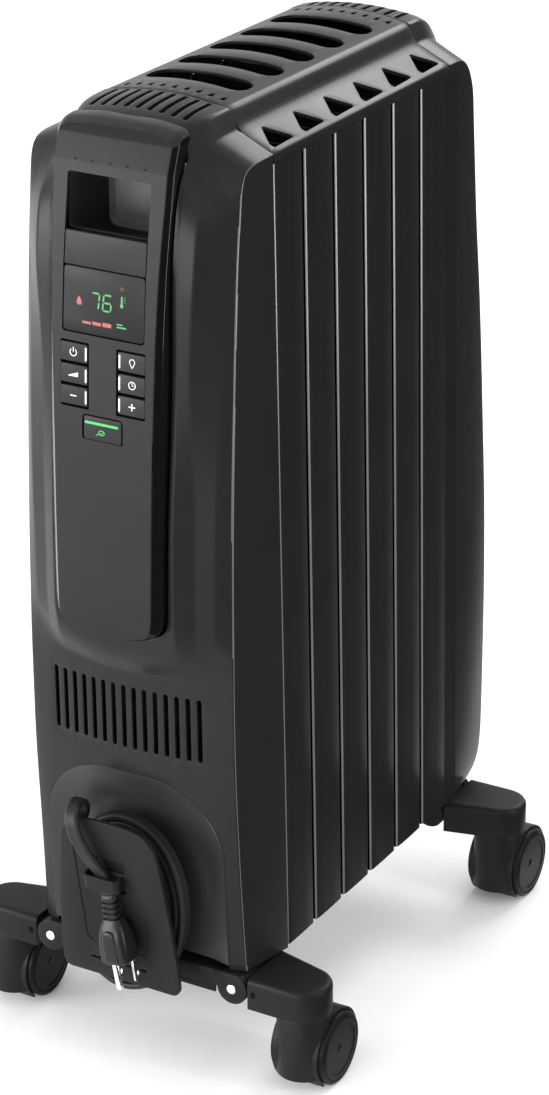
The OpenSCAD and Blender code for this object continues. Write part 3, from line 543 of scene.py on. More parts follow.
def cover_slots(seam, side):
    """Cutters for the louvres in a cover's face and for the vents in its top."""
    face = sorted((seam + side * 40, seam + side * 90))
    y0, y1 = sorted((seam + side * 2.6, seam + side * 33.5))
    slots = []
    for x in (i * LOUVRE_PITCH for i in range(-7, 8)):
        outline = rect(x - LOUVRE_HALF, LOUVRE_LOW, x + LOUVRE_HALF, LOUVRE_HIGH, 1.6, 4)
        slots.append(prism(outline, *face, "y"))
    for x in (i * VENT_PITCH for i in range(-4, 5)):
        slots.append(prism(rect(x - VENT_HALF, y0, x + VENT_HALF, y1, 1.55, 4), 612, 660))
    return group(*slots)


def build_cover(name, rows, seam, side, openings=()):
    cover = make(f"{name}_shell", cover_skin(rows, seam, side, 4), COVER, "cover_paint",
                 replaces=[name])
    thicken(cover, COVER_WALL)
    for opening in openings:
        cut(cover, opening)
    cut(cover, cover_slots(seam, side))
    bevel(cover, 0.45)
    return cover


def build_front_cover():
    panel_opening = prism(panel_outline(6.6, 7.4), FRONT - 110, FRONT - 45.4, "y")
    niche_opening = prism(niche_outline(), FRONT - 110, FRONT - 30, "y")
    cover = build_cover("front_cover", FRONT_ROWS, FRONT, -1, (panel_opening, niche_opening))
    # The ridge between the facet and the side is a pale glossy painted highlight.
    repaint(cover, EDGE_PAINTED_HIGHLIGHT, lambda c, n: abs(c.x) > 72.7 + max(0.0, 500 - c.z) * 0.0062
            and 0.72 < abs(n.x) < 0.95)
    # Scooped niche behind the cord: its side wall leans inwards to a smaller back wall.
    low = 84.0
    rim = niche_outline(low=low)
    rows = [[(x, FRONT - cover_reach(*edge) * (1 - t) - 40.6 * t, z)
             for (x, z), edge in zip(niche_outline(side, top, low), rim)]
            for t, side, top in ((0.03, -0.5, -0.5), (0.08, 0.6, 0.8), (0.2, 2.2, 3.4),
                                 (0.42, 5.4, 9.0), (0.66, 9.2, 15.6), (0.86, 13.0, 22.0),
                                 (0.96, 16.0, 26.6), (1.0, 19.0, 30.0))]
    points, faces = grid(rows)
    faces.append([len(points) - 1 - i for i in range(len(rim))])
    # The niche wall is painted paler than the cover, as painted light.
    thicken(make("niche_wall", (points, faces), NICHE_PAINTED_LIGHT, "cover_paint"), 1.6, 1.0)


# ---- top grille

CROWN_HALF, CROWN_DROP = 43.9, 5.0
ROUND_SLOT_SHIFT = 104.7  # of the rows of small slots from the middle


def build_grille():
    def crown(x):
        return CROWN_Z - CROWN_DROP * (x / CROWN_HALF) ** 2

    side = [(-73.8, 610.0), (-74, 616.4), (-49.7, 627.8), (-CROWN_HALF, 640)]
    section = side + [(x, crown(x)) for x in range(-36, 37, 9)]
    section += [(-x, z) for x, z in reversed(side)]
    radii = [0, 2.4, 5, 3.5]
    outer = soft_line([(x, 0, z) for x, z in section], radii + [5] * 9 + radii[::-1], 4)
    rows = []
    for k in range(25):
        y = GRILLE_LOW[1] + (GRILLE_HIGH[1] - GRILLE_LOW[1]) * k / 24
        rows.append([(x, y, z) for x, _, z in outer])
    grille = make("top_grille_shell", grid(rows), GRILLE, "cover_paint", replaces=["top_grille"])
    thicken(grille, 2.0)
    outlines = []
    for i in range(-2, 3):
        y = MID_Y + i * PITCH
        outlines.append(rect(-35.5, y - 11, 35.5, y + 11, 9.5, 8))
    for s in (-1, 1):
        y = MID_Y + s * ROUND_SLOT_SHIFT
        outlines += [rect(i * 8.45 - 1.5, y - 2.8, i * 8.45 + 1.5, y + 2.8, 1.2, 3)
                     for i in range(-4, 5)]
        for i in range(6):
            y = MID_Y + (i - 2.5) * PITCH
            outlines.append(rounded([(s * 53.5, y + 0.5), (s * 69.6, y + 14.5),
                                     (s * 70.4, y - 11.8), (s * 67.0, y - 12.2)],
                                    [2.0, 1.6, 1.6, 1.6], 3))
    cut(grille, group(*[prism(outline, 600, 670) for outline in outlines]))
    bevel(grille, 0.7, 3)


# ---- elements

FIN_GAP = 3.6
CHANNEL_X = 36.0
HUBS_Z = (130.0, 562.0)


def channel(x, y, depth):
    """A raised oil channel: a long lens, flat on the sheet and round at both ends."""
    low, high, half, steps = HUBS_Z[0] - 1, HUBS_Z[1] + 1, 13, 10
    rows = []
    for k in range(steps + 1):
        t = math.pi / 2 * k / steps
        w = half * math.cos(t) ** 0.7 if k < steps else 0.2
        outline = rect(x - w, low - w, x + w, high + w, max(w - 0.05, 0.1), 6)
        rows.append([(a, y + depth * math.sin(t), b) for a, b in outline])
    return capped(rows)


def build_fin(i):
    y = FRONT + PITCH * (i - 1)
    first, last = i == 1, i == 7
    depth = 3.0 if last else PITCH - FIN_GAP
    # Plan of one side: the sheet, the round fold, the side panel and its return lip.
    plan = [(-40, 0.8), (-4.2, 0.9), (-2.4, 0.3), (-1.0, 0.35), (-0.3, 1.2), (0.0, 2.6),
            (0.15, depth * 0.35), (0.2, depth * 0.6), (0.0, depth - 2.2), (-0.5, depth - 0.8),
            (-1.6, depth - 0.1)]
    if not last:
        plan.append((-5.0, depth))
    rows = []
    for z in (FIN_LOW_Z, FIN_LOW_Z + 3, 200, 350, 500, FIN_HIGH_Z - 3, FIN_HIGH_Z):
        right = [(fin_half(z) + a - 0.25, y + b, z) for a, b in plan]
        rows.append([(-a, b, c) for a, b, c in reversed(right)] + [(0, y + 0.8, z)] + right)
    fin = make(f"element_{i}", grid(rows), FIN, "fin_paint", replaces=[f"fin_{i}"])
    thicken(fin, 1.1, 0.0)
    # The front fold is a painted highlight and the sheet beside it painted shade.
    repaint(fin, FOLD_PAINTED_HIGHLIGHT, lambda c, n: abs(n.x) > 0.5 and -0.86 < n.y < -0.4)
    repaint(fin, SHADE, lambda c, n: n.y <= -0.86 and abs(c.x) > fin_half(c.z) - 8)
    shapes = []
    for x in (-CHANNEL_X, CHANNEL_X):
        shapes.append(channel(x, y + 1.2, 7.5))
        if not first:
            shapes.append(channel(x, y + 0.6, -4.5))
    for z in HUBS_Z:
        # A lens joins the two channels, and a hub joins the elements.
        rows = []
        for t in (0.0, 0.3, 0.6, 0.8, 0.92, 1.0):
            h = 11 * math.sqrt(max(1 - t * t, 0.001))
            rows.append([(x, y + 1 + 6 * t, v) for x, v in
                         rect(-CHANNEL_X, z - h, CHANNEL_X, z + h)])
        shapes.append(capped(rows))
        start = y if first else y - PITCH / 2
        end = y + 15 if last else y + PITCH / 2
        hub = [(12.8, start + 0.2), (18.4, start + 0.2), (19, start + 0.9)]
        hub += [(24, y + 0.1)] if first else [(19, y - 6), (22.5, y - 2.5), (24, y)]
        hub += [(24, y + 6), (21.5, y + 9), (19, y + 12), (19, end - 0.9), (18.4, end - 0.2),
                (12.8, end - 0.2)]
        shapes.append(lathe(hub, "y", (0, 0, z), 40))
    make(f"element_{i}_channels", group(*shapes), FIN, "fin_paint")


# ---- control panel

# Reach of the panel's face in front of the seam at some heights.
FACE = [(317, 79.6), (322, 80.6), (328, 81), (386, 80.2), (452, 78.2), (512, 75.6), (552, 72.4),
        (575, 69.5), (608, 65), (616, 63.6), (623, 61.6), (629, 58.8), (634, 55.4)]
HOLD = (-29.0, 574.0, 29.0, 608.5)  # the hand hold's left, lower, right and upper edge
WINDOW_LOW, INSERT_LOW = 512.0, 552.4
BUTTON_ROWS = [506.0, 492.3, 478.6, 465.0]
PIT_Z = 615.7


def face_reach(z):
    """Reach of the panel's face in front of the seam at a height."""
    i = 0
    while i < len(FACE) - 2 and z > FACE[i + 1][0]:
        i += 1
    t = (z - FACE[i][0]) / (FACE[i + 1][0] - FACE[i][0])
    return spline([[d] for _, d in FACE], i + max(0.0, min(1.0, t)))[0]


def face_y(z, sink=0.0):
    return FRONT - face_reach(z) + sink


def panel_reach(z):
    """Reach of the face, carried on past its upper edge."""
    return face_reach(z) if z < 633 else face_reach(633) - (z - 633) * 0.75


def face_crown(x):
    """How far the face stands out at x, from nothing at its sides."""
    return 0.5 * (1 - min(1.0, (x / 36) ** 2))


def lay(outline, low, high, steps=1):
    """An outline in X and Z laid on the panel's face, from low under it to high over it."""
    return capped([[(x, face_y(z, -h), z) for x, z in outline]
                   for h in (low + (high - low) * k / steps for k in range(steps + 1))])


def fine_rect(x0, z0, x1, z1, r, rise=12):
    """A rectangle with extra points up its sides, so that it can follow the curved face."""
    corners = rect(x0, z0, x1, z1, r, 4)
    out = []
    for p, q in zip(corners, corners[1:] + corners[:1]):
        count = int(abs(q[1] - p[1]) / rise) + 1
        out += [(p[0] + (q[0] - p[0]) * k / count, p[1] + (q[1] - p[1]) * k / count)
                for k in range(count)]
    return out


def build_panel():
    # Bands round the face: how far out at the sides and the top, how far back at both.
    bands = [(0.0, 0.0, 0.0, 0.0), (0.4, 0.5, 0.15, 0.35), (0.8, 1.0, 0.6, 1.0),
             (4.2, 3.2, 3.6, 5.2), (4.7, 4.6, 4.8, 8.4), (4.9, 5.2, 14.0, 14.0)]
    halves = [[(x, FRONT - panel_reach(z0) + back + (top_back - back) * up
                - face_crown(x) * (1 - up), z) for x, z, up, z0 in panel_ring(side, top)]
              for side, top, back, top_back in bands]
    rings = [half + [(-x, y, z) for x, y, z in reversed(half)] for half in halves]
    # Face inside the innermost band, in rows from side to side.
    rows = [[(x * u, y + face_crown(x) - face_crown(x * u), z)
             for u in (k / 6 for k in range(-6, 7))] for x, y, z in halves[0]]
    panel = make("panel_shell", group(grid(rings, True), grid(rows)), PANEL, "panel_gloss",
                 replaces=["control_panel"], angle=50)
    thicken(panel, 2.4)
    tools = [prism(rect(HOLD[0], WINDOW_LOW - 0.4, HOLD[2], HOLD[3], 2.2, 4),
                   FRONT - 100, FRONT - 52, "y")]
    keys = [rect(x0, BUTTON_ROWS[-1] - 0.5, x1, BUTTON_ROWS[0] + 0.5, 0.9, 3)
            for x0, x1 in ((-29.9, -9.6), (9.6, 29.9))]
    keys.append(rect(-14.5, 445.8, 14.5, 461.9, [1.5, 1.5, 3.4, 3.4], 4))
    tools += [prism(key, FRONT - 100, FRONT - 60, "y") for key in keys]
    cut(panel, group(*tools))
    bevel(panel, 0.3)
    # The bevel round the panel is polished.
    repaint(panel, GLOSS, lambda c, n: abs(c.x) > panel_edge(min(c.z, 636)) - 0.1
            or c.z > PANEL_TOP + 1.9 - 3.0 * (c.x / 36) ** 2 or c.z < 317.2)
    # Large faces keep their own direction, so that openings leave no smears round them.
    modify(panel, "WEIGHTED_NORMAL", keep_sharp=True, weight=60)
    # Each pit is a small near-black disc of painted shade standing in for a hole.
    for i in range(-2, 3):
        x = i * 12.1
        at = (x, face_y(PIT_Z) - 0.4 * (1 - (x / 36) ** 2), PIT_Z)
        pit = lathe([(0.8, 0.25), (0.75, -0.06), (0.45, -0.03), (0.1, 0.1)], "y", at, 14)
        make(f"panel_pit_{i + 2}", pit, PAINTED_SHADOW_GAP, "panel_gloss")


def build_hold():
    """The finger pocket: round corners, a curved floor and a back wall painted paler as painted
    light.
    """
    front = face_reach(HOLD[3])
    rows = []
    for back, side, low, high in ((1.6, 0.0, 0.0, 0.0), (4.6, 0.0, -8.0, 0.6),
                                  (15.6, 0.2, -12.5, 0.8), (31.6, 0.4, -12.5, 0.8),
                                  (43.6, 0.6, -11.5, 1.2), (49.2, 1.6, -9.5, 2.2),
                                  (51.2, 4.0, -5.5, 5.0)):
        outline = rect(HOLD[0] + side, HOLD[1] + low, HOLD[2] - side, HOLD[3] - high,
                       6.0 if rows else 2.0, 5)
        rows.append([(x, FRONT - front + back, z) for x, z in outline])
    points, faces = grid(rows, True)
    faces.append([len(points) - len(rows[0]) + i for i in range(len(rows[0]))])
    pocket = make("hand_hold_pocket", (points, faces), RECESS, "recess_plastic",
                  replaces=["hand_hold"])
    thicken(pocket, 1.2, 1.0)
    # The back wall is painted paler as painted light.
    repaint(pocket, RECESS_BACK_PAINTED_LIGHT, lambda c, n: c.y > FRONT - front + 44)


def build_face_tiles():
    insert = fine_rect(-28.5, INSERT_LOW + 0.5, 28.5, 573.6, 0.8)
    bevel(make("panel_insert_tile", lay(insert, -2.4, 0.1, 2), PANEL, "panel_gloss",
               replaces=["panel_insert"]), 0.5, 3)
    window = fine_rect(-28.5, WINDOW_LOW + 0.2, 28.5, INSERT_LOW - 0.1, 2.6, 6)
    bevel(make("window_tile", lay(window, -2.4, -0.15, 2), WINDOW, "window_plastic",
               replaces=["display_window"]), 0.4, 3)


SEGMENTS = {"7": "abc", "6": "acdefg"}
DIGIT_W, DIGIT_H, SEGMENT = 5.6, 9.8, 1.05
STROKE = 0.5


def lit(*outlines):
    """Outlines in X and Z as thin shapes on the window."""
    return group(*[lay(outline, -0.2, 0.12) for outline in outlines])


def digit(char, x, z):
    """Seven segment bars of a digit whose lower left corner is at x, z, leaning a little."""
    w, h, half = DIGIT_W, DIGIT_H, DIGIT_H / 2
    t, gap = SEGMENT / 2, SEGMENT * 0.3
    bars = {"a": (0, h, w, h), "b": (w, half, w, h), "c": (w, 0, w, half), "d": (0, 0, w, 0),
            "e": (0, 0, 0, half), "f": (0, half, 0, h), "g": (0, half, w, half)}
    outlines = []
    for x0, z0, x1, z1 in (bars[key] for key in SEGMENTS[char]):
        flat = z0 == z1
        low, high, at = (x0 + gap, x1 - gap, z0) if flat else (z0 + gap, z1 - gap, x0)
        line = [(low, at), (low + t, at + t), (high - t, at + t), (high, at),
                (high - t, at - t), (low + t, at - t)]
        line = line if flat else [(b, a) for a, b in line]
        outlines.append([(x + a + (b / h) * 0.9, z + b) for a, b in line])
    return lit(*outlines)


def bar(x0, z0, x1, z1, t=STROKE):
    """A straight printed stroke."""
    along = Vector((x1 - x0, z1 - z0)).normalized() * (t / 2)
    side = Vector((-along.y, along.x))
    a, b = Vector((x0, z0)) - along, Vector((x1, z1)) + along
    return [tuple(a + side), tuple(b + side), tuple(b - side), tuple(a - side)]


def arc(x, z, r, start, end, steps=14):
    """A printed stroke along an arc, angles in degrees."""
    turns = [math.radians(start + (end - start) * k / steps) for k in range(steps + 1)]
    return [(x + rr * math.cos(a), z + rr * math.sin(a))
            for rr, order in ((r + STROKE / 2, turns), (r - STROKE / 2, turns[::-1]))
            for a in order]


def build_display():
    digits = group(digit("7", -9.4, 528.2), digit("6", -0.8, 528.2))
    flame = [(-18.6, 529.4), (-15.8, 529.4), (-15.2, 531.2), (-16.2, 533.2), (-17.2, 535.0),
             (-18.2, 533.4), (-19.1, 531.2)]
    steps = [rect(x0, 518.4, x0 + 6.2, 518.4 + h, 0.3, 2)
             for x0, h in ((-14.7, 1.5), (-7.6, 2.0), (-0.5, 2.5))]
    bulb = [(12.6 + 1.2 * math.cos(a), 533.2 + 1.2 * math.sin(a))
            for a in (2 * math.pi * k / 20 for k in range(20))]
    thermometer = [rect(12.0, 534.0, 13.2, 539.0, 0.5, 3), bulb]
    thermometer += [rect(14.0, z, 15.2, z + 0.35, 0.1, 2) for z in (535.4, 536.8, 538.2)]
    lines = [rect(9.4, 519.4, 16.2, 520.3, 0.4, 2), rect(9.4, 521.2, 13.6, 522.0, 0.4, 2)]
    snow = [bar(12.6 - x, 543.4 - z, 12.6 + x, 543.4 + z, 0.3)
            for x, z in ((1.4 * math.cos(a), 1.4 * math.sin(a))
                         for a in (math.pi / 2, math.pi / 6, -math.pi / 6))]
    for name, shape, light in (
            ("digits", digits, FAINT), ("heat_mark", lit(flame), RED),
            ("level_bars", lit(*steps), RED), ("degree_mark", lit(*thermometer), FAINT),
            ("leaf_mark", lit(*lines), FAINT), ("frost_mark", lit(*snow), DIM_RED)):
        make(name, shape, light, "window_plastic")


def icon(kind, x, z):
    """Strokes of a button's generic symbol, as outlines in X and Z."""
    if kind == "power":
        return [arc(x, z, 2.3, 125, 415), bar(x, z + 0.6, x, z + 3.0)]
    if kind == "level":
        return [[(a, z - 1.5), (a + 1.5, z - 1.5), (a + 1.5, z - 1.0 + 0.62 * (k + 0.9)),
                 (a, z - 1.0 + 0.62 * k)] for k, a in ((k, x - 3.4 + 1.75 * k) for k in range(4))]
    if kind == "minus":
        return [bar(x - 1.8, z, x + 1.8, z, 0.7)]
    if kind == "plus":
        return [bar(x - 1.9, z, x + 1.9, z, 0.7), bar(x, z - 1.9, x, z + 1.9, 0.7)]
    if kind == "frost":
        return [arc(x, z + 0.8, 1.8, -35, 215)] + [
            bar(x - s * 1.45, z - 0.3, x - s * 0.2, z - 2.6, 0.45) for s in (1, -1)]
    if kind == "timer":
        return [arc(x, z, 2.3, 0, 180), arc(x, z, 2.3, 180, 360), bar(x, z, x, z + 1.4, 0.45),
                bar(x, z, x + 1.0, z - 0.1, 0.45)]
    return [arc(-0.6, 450.6, 2.3, 20, 160), arc(-0.6, 452.2, 2.3, 200, 340),
            bar(-4.4, 449.6, 0.9, 451.8, 0.45)]


def build_button(label, cap, lift, light, ink, glow, stem):
    """A key with its symbol, its light and the stem behind it (x, z and where on the face)."""
    body = f"button_{label}"
    (low, high), (stem_x, stem_z, stem_face) = (cap[1], cap[3]), stem
    marks = icon(label, math.copysign(20.8, stem_x), (low + high) / 2)
    piece = make(f"{body}_cap", lay(fine_rect(*cap), -3.0, lift, 2), BUTTON, "button_plastic",
                 body, [body])
    bevel(piece, 0.35)
    stem_box = block(stem_x - 2, face_y(stem_face, 2.6), stem_z - 2,
                     stem_x + 2, face_y(stem_face, 5.6), stem_z + 2)
    for suffix, shape, material in (
            ("mark", group(*[lay(line, 0.3, 0.42) for line in marks]), ink),
            ("light", lay(light, 0.2, 0.42), glow), ("stem", stem_box, PART)):
        make(f"{body}_{suffix}", shape, material, "button_plastic", body)


def build_buttons():
    for s, labels in ((-1, ("power", "level", "minus")), (1, ("frost", "timer", "plus"))):
        x0, x1 = sorted((s * 10.8, s * 29.75))
        for row, label in enumerate(labels):
            low, high = BUTTON_ROWS[row + 1] + 1.0, BUTTON_ROWS[row] - 1.0
            middle = (low + high) / 2
            light = fine_rect(s * 11.9 - 0.55, low + 1.6, s * 11.9 + 0.55, high - 1.6, 0.5, 3)
            build_button(label, (x0, low, x1, high, 0.9, 3), 0.35, light, PRINT, PALE,
                         (s * 19.8, middle, middle))
    build_button("eco", (-13.3, 445.95, 13.3, 460.8, 1.6, 3), 0.3,
                 rect(-12.6, 456.0, 11.2, 457.6, 0.6, 3), GREEN, GREEN, (0, 453, 454))


# ---- arms, castors, wheels

SWIVEL_X = 112.5
SWIVEL_REACH = 28.6  # from a cover's seam out to the castors' swivel axes
ARM_LOW, ARM_HIGH = 57.0, 79.0
HINGE_X, HINGE_Z = 69.7, 68.7
HINGE_DX = HINGE_X - SWIVEL_X
INNER_DX = HINGE_DX + 11.6  # inner face of an arm
WHEEL_R = 25.0
TRAIL = 15.0
CORNERS = [("front_right", 1, -1), ("front_left", -1, -1), ("rear_right", 1, 1),
           ("rear_left", -1, 1)]


def seam_y(end):
    return FRONT if end < 0 else REAR


def swivel_y(end):
    return seam_y(end) + end * SWIVEL_REACH


def at_corner(shape, side, end, flip=False):
    """Moves a shape drawn for the front right corner, swivel axis at x = y = 0, to a corner."""
    points, faces = shape
    sy = -1 if (flip and end > 0) else 1
    out = [(side * (SWIVEL_X + x), swivel_y(end) + sy * y, z) for x, y, z in points]
    if side * sy < 0:
        faces = [list(reversed(f)) for f in faces]
    return out, faces


def at_end(shape, end):
    """Moves a shape drawn for the front, swivel axes at y = 0, to the front or the rear."""
    return [(x, swivel_y(end) - end * y, z) for x, y, z in shape[0]], shape[1]


def build_arm(name, side, end):
    body = f"arm_{name}"

    def here(shape):
        return at_corner(shape, side, end, True)

    outline = [(19 * math.cos(math.radians(a)), 19 * math.sin(math.radians(a)))
               for a in range(-90, 81, 10)]
    outline += [(-4, 20.6), (-30, 27), (INNER_DX, 27), (INNER_DX, -19)]
    arm = make(f"{body}_shell", here(prism(outline, ARM_LOW, ARM_HIGH)), BASE, "base_plastic",
               body, [body])
    # Rounded upper edge, sharp lower one.
    bm = bmesh.new()
    bm.from_mesh(arm.data)
    inner = (SWIVEL_X + INNER_DX) * MM
    top = [e for e in bm.edges if all(v.co.z > (ARM_HIGH - 0.1) * MM for v in e.verts)
           and not all(abs(abs(v.co.x) - inner) < 0.2 * MM for v in e.verts)]
    bmesh.ops.bevel(bm, geom=top, offset=5.0 * MM, segments=6, profile=0.62, affect="EDGES")
    bm.to_mesh(arm.data)
    bm.free()
    shade(arm)
    # Round hollow over the bracket's ear.
    hinge = (HINGE_DX, 0, HINGE_Z)
    cut(arm, here(lathe([(11.5, -60), (11.5, 60)], "y", hinge)))
    tongue = lathe([(3.6, -12.4), (9.4, -12.4), (10, -11.8), (10, 20), (9.4, 20.6), (3.6, 20.6)],
                   "y", hinge, 40)
    bridge = block(HINGE_DX + 3, -12.2, HINGE_Z - 6, HINGE_DX + 14, 20.4, HINGE_Z + 6)
    make(f"{body}_tongue", here(group(tongue, bridge)), BASE, "base_plastic", body)
    bevel(arm, 0.5)
    # Small latch hole next to the ear, drawn as a near-black block of painted shade.
    latch = block(HINGE_DX + 14.2, -19.12, 66.4, HINGE_DX + 17.4, -18.2, 70.6)
    make(f"{body}_latch", here(latch), PAINTED_SHADOW_GAP, "base_plastic", body)


def build_bracket(name, end):
    def part(suffix, shape, width, segments=2, **more):
        bevel(make(f"{name}_{suffix}", shape, BASE, "base_plastic", **more), width, segments)

    crossbar = prism(rect(-57.6, -19, 57.6, 27, 1.0, 3), 66.6, 79.8)
    part("crossbar", at_end(crossbar, end), 1.2, 3, replaces=[name])
    part("lip", at_end(block(-57.6, -19, 63.0, 57.6, -17.4, 67), end), 0.5)
    turns = [math.radians(183 + 9.5 * k) for k in range(29)]
    ear = [(HINGE_X + 11 * math.cos(a), HINGE_Z + 11 * math.sin(a)) for a in turns]
    ear += [(56.0, HINGE_Z + 11), (56.0, HINGE_Z - 0.5)]
    for k, (s, y) in enumerate(((-1, -19), (-1, 21), (1, -19), (1, 21))):
        part(f"ear_{k}", at_end(prism([(s * x, z) for x, z in ear][::s], y, y + 6, "y"), end), 0.6)
    lug = sorted((seam_y(end) + end * 1.6, seam_y(end) + end * 4.4))
    part("lug", prism(rect(-30, 76, 30, 110, 5, 5), *lug, "y"), 0.5)


def build_pins(name, end):
    profile = [(0.3, -20.3), (2.2, -20.2), (3.2, -19.8), (3.5, -19.2), (3.5, 27.0), (3.1, 27.4),
               (0.3, 27.5)]
    pins = [lathe(profile, "y", (s * HINGE_X, 0, HINGE_Z), 32) for s in (-1, 1)]
    make(f"{name}_steel", at_end(group(*pins), end), CHROME, "bright_metal", replaces=[name])


def build_castor(name, side, end):
    body = f"castor_{name}"
    centre = (0, TRAIL, WHEEL_R)

    def here(shape):
        return at_corner(shape, side, end)

    hood_r, hood_half, well_r = 27.4, 16.6, WHEEL_R + 0.7
    hood = make(f"{body}_hood", here(lathe([(hood_r, -hood_half), (hood_r, hood_half)], "x",
                                           centre, 72)), BASE, "base_plastic", body, [body])
    column = lathe([(17.6, 12), (17.6, 54.6), (17.0, 56.2), (15.5, 56.6)], steps=64)
    cut(hood, here(column), join=True)
    for x0, x1 in ((-40.0, -6.4), (6.4, 40.0)):
        cut(hood, here(lathe([(well_r, x0), (well_r, x1)], "x", centre, 72)))
    cut(hood, here(block(-40, -50, -30, 40, 60, 4.6)))
    bevel(hood, 0.5, 3)
    stem = lathe([(4.9, 55), (4.9, 70.6), (4.3, 71)], steps=32)
    make(f"{body}_stem", here(stem), STEEL, "base_plastic", body)
    axle = lathe([(2.4, -19), (3.0, -18.4), (3.0, 18.4), (2.4, 19)], "x", centre, 32)
    make(f"axle_{name}_steel", here(axle), STEEL, "axle_steel", body, [f"axle_{name}"])
    # Tread, shoulder, disc with a raised border ring and a shallow dish.
    disc = [(3.2, 6.95), (20, 6.95), (24.2, 7.2), (24.9, 8.0), (25, 9.2), (25, 17.6), (24.7, 18.7),
            (23.9, 19.5), (22.6, 19.75), (22.2, 19.5), (21.9, 19.1), (21.5, 19.1), (21.2, 19.6),
            (20.6, 19.95), (18.6, 20.0), (18.2, 19.75), (17.9, 19.4), (12.0, 19.35), (6.0, 19.3),
            (3.2, 19.3)]
    cap = [(2.9, 18.9), (2.9, 19.4), (2.2, 19.8), (0.2, 19.9)]
    for s, label in ((1, "outer"), (-1, "inner")):
        wheel = f"wheel_{name}_{label}"
        make(f"{wheel}_disc", here(lathe([(r, s * h) for r, h in disc], "x", centre, 72)), WHEEL,
             "wheel_plastic", wheel, [wheel], 28)
        make(f"{wheel}_cap", here(lathe([(r, s * h) for r, h in cap], "x", centre, 32)), WHEEL,
             "wheel_plastic", wheel)


# ---- cord and its storage

PLATE_FOOT = (0.0, FRONT - 69.7, 66.0)
AT_PLATE = Matrix.Translation(PLATE_FOOT) @ Matrix.Rotation(math.radians(7.3), 4, "X")
PLUG_TOP = (1.0, FRONT - 84.5, 136.5)
AT_PLUG = Matrix.Translation(PLUG_TOP) @ Matrix.Rotation(math.radians(-10), 4, "Y")
CORD_WIDTH, CORD_THICK = 9.6, 5.0
SLEEVE_X, SLEEVE_Y, SLEEVE_TOP = -46.0, FRONT - 49.3, 118.0


def build_plate():
    half = [(44, 0), (44.2, 20), (41.9, 52), (38.3, 86), (33.6, 121)]
    corners = [(-x, z) for x, z in half] + [(0, 123.2)] + half[::-1]
    outline = rounded(corners, [6, 30, 60, 60, 20, 80, 20, 60, 60, 30, 6], 8)
    plate = make("cord_plate_panel", moved(prism(outline, 0, 3.4, "y"), AT_PLATE), BASE,
                 "base_plastic", replaces=["cord_plate"])
    dish = rounded([(-29.5, 140), (-23.6, 30.5), (-20, 25.5), (20, 25.5), (23.6, 30.5),
                    (29.5, 140)], [0, 6, 6, 6, 6, 0], 6)
    cut(plate, moved(prism(dish, -5, 0.7, "y"), AT_PLATE))
    slots = [prism(rect(x0, z0, x1, z1, r, 3), -5, 10, "y")
             for x0, z0, x1, z1, r in ((-18, 86, 10, 95, 1.2), (-18, 70.5, 10, 74, 1.2),
                                       (-22, 12.4, 20, 14.2, 0.6))]
    cut(plate, moved(group(*slots), AT_PLATE))
    bevel(plate, 0.9, 3)
    # The strap: a band that stands off the plate and bends back into it at both ends.
    outer = [(-17.2, 1.4), (-17.2, -5.6), (-14.4, -8.2), (6.4, -8.2), (9.2, -5.6), (9.2, 1.4)]
    inner = [(7.2, 1.4), (7.2, -4.9), (5.6, -6.0), (-13.6, -6.0), (-15.2, -4.9), (-15.2, 1.4)]
    band = rounded(outer + inner, [0, 2.5, 2.5, 2.5, 2.5, 0, 0, 1, 1, 1, 1, 0], 5)
    bevel(make("cord_strap", moved(prism(band, 75, 85), AT_PLATE), BASE, "base_plastic",
               replaces=["cord_clip"]), 0.6, 3)


def build_sleeve():
    profile = [(4.9, 92.7)]
    for k in range(6):
        z, r = 95.2 + 3.6 * k, 5.5 - 0.12 * k
        profile += [(r, z), (r, z + 2.3), (r - 0.9, z + 2.5), (r - 0.9, z + 3.4)]
    profile += [(4.7, 117.0), (4.4, SLEEVE_TOP)]
    make("cord_sleeve", lathe(profile, "z", (SLEEVE_X, SLEEVE_Y, 0), 40), PLUG, "cord_rubber",
         replaces=["cord_gland"])
    foot = block(SLEEVE_X - 7, FRONT - 54.5, 92.6, SLEEVE_X + 7, FRONT - 39, 95.0)
    bevel(make("cord_sleeve_foot", foot, PLUG, "cord_rubber"), 0.6)


def winding(turn, centre, half, tall):
    """A point of a winding, in turns clockwise from its left side."""
    angle = 2 * math.pi * turn
    return -half * math.cos(angle), centre + tall * math.sin(angle)


def ease(t):
    """From 0 to 1 with a soft start and end."""
    t = min(1.0, max(0.0, t))
    return t * t * (3 - 2 * t)


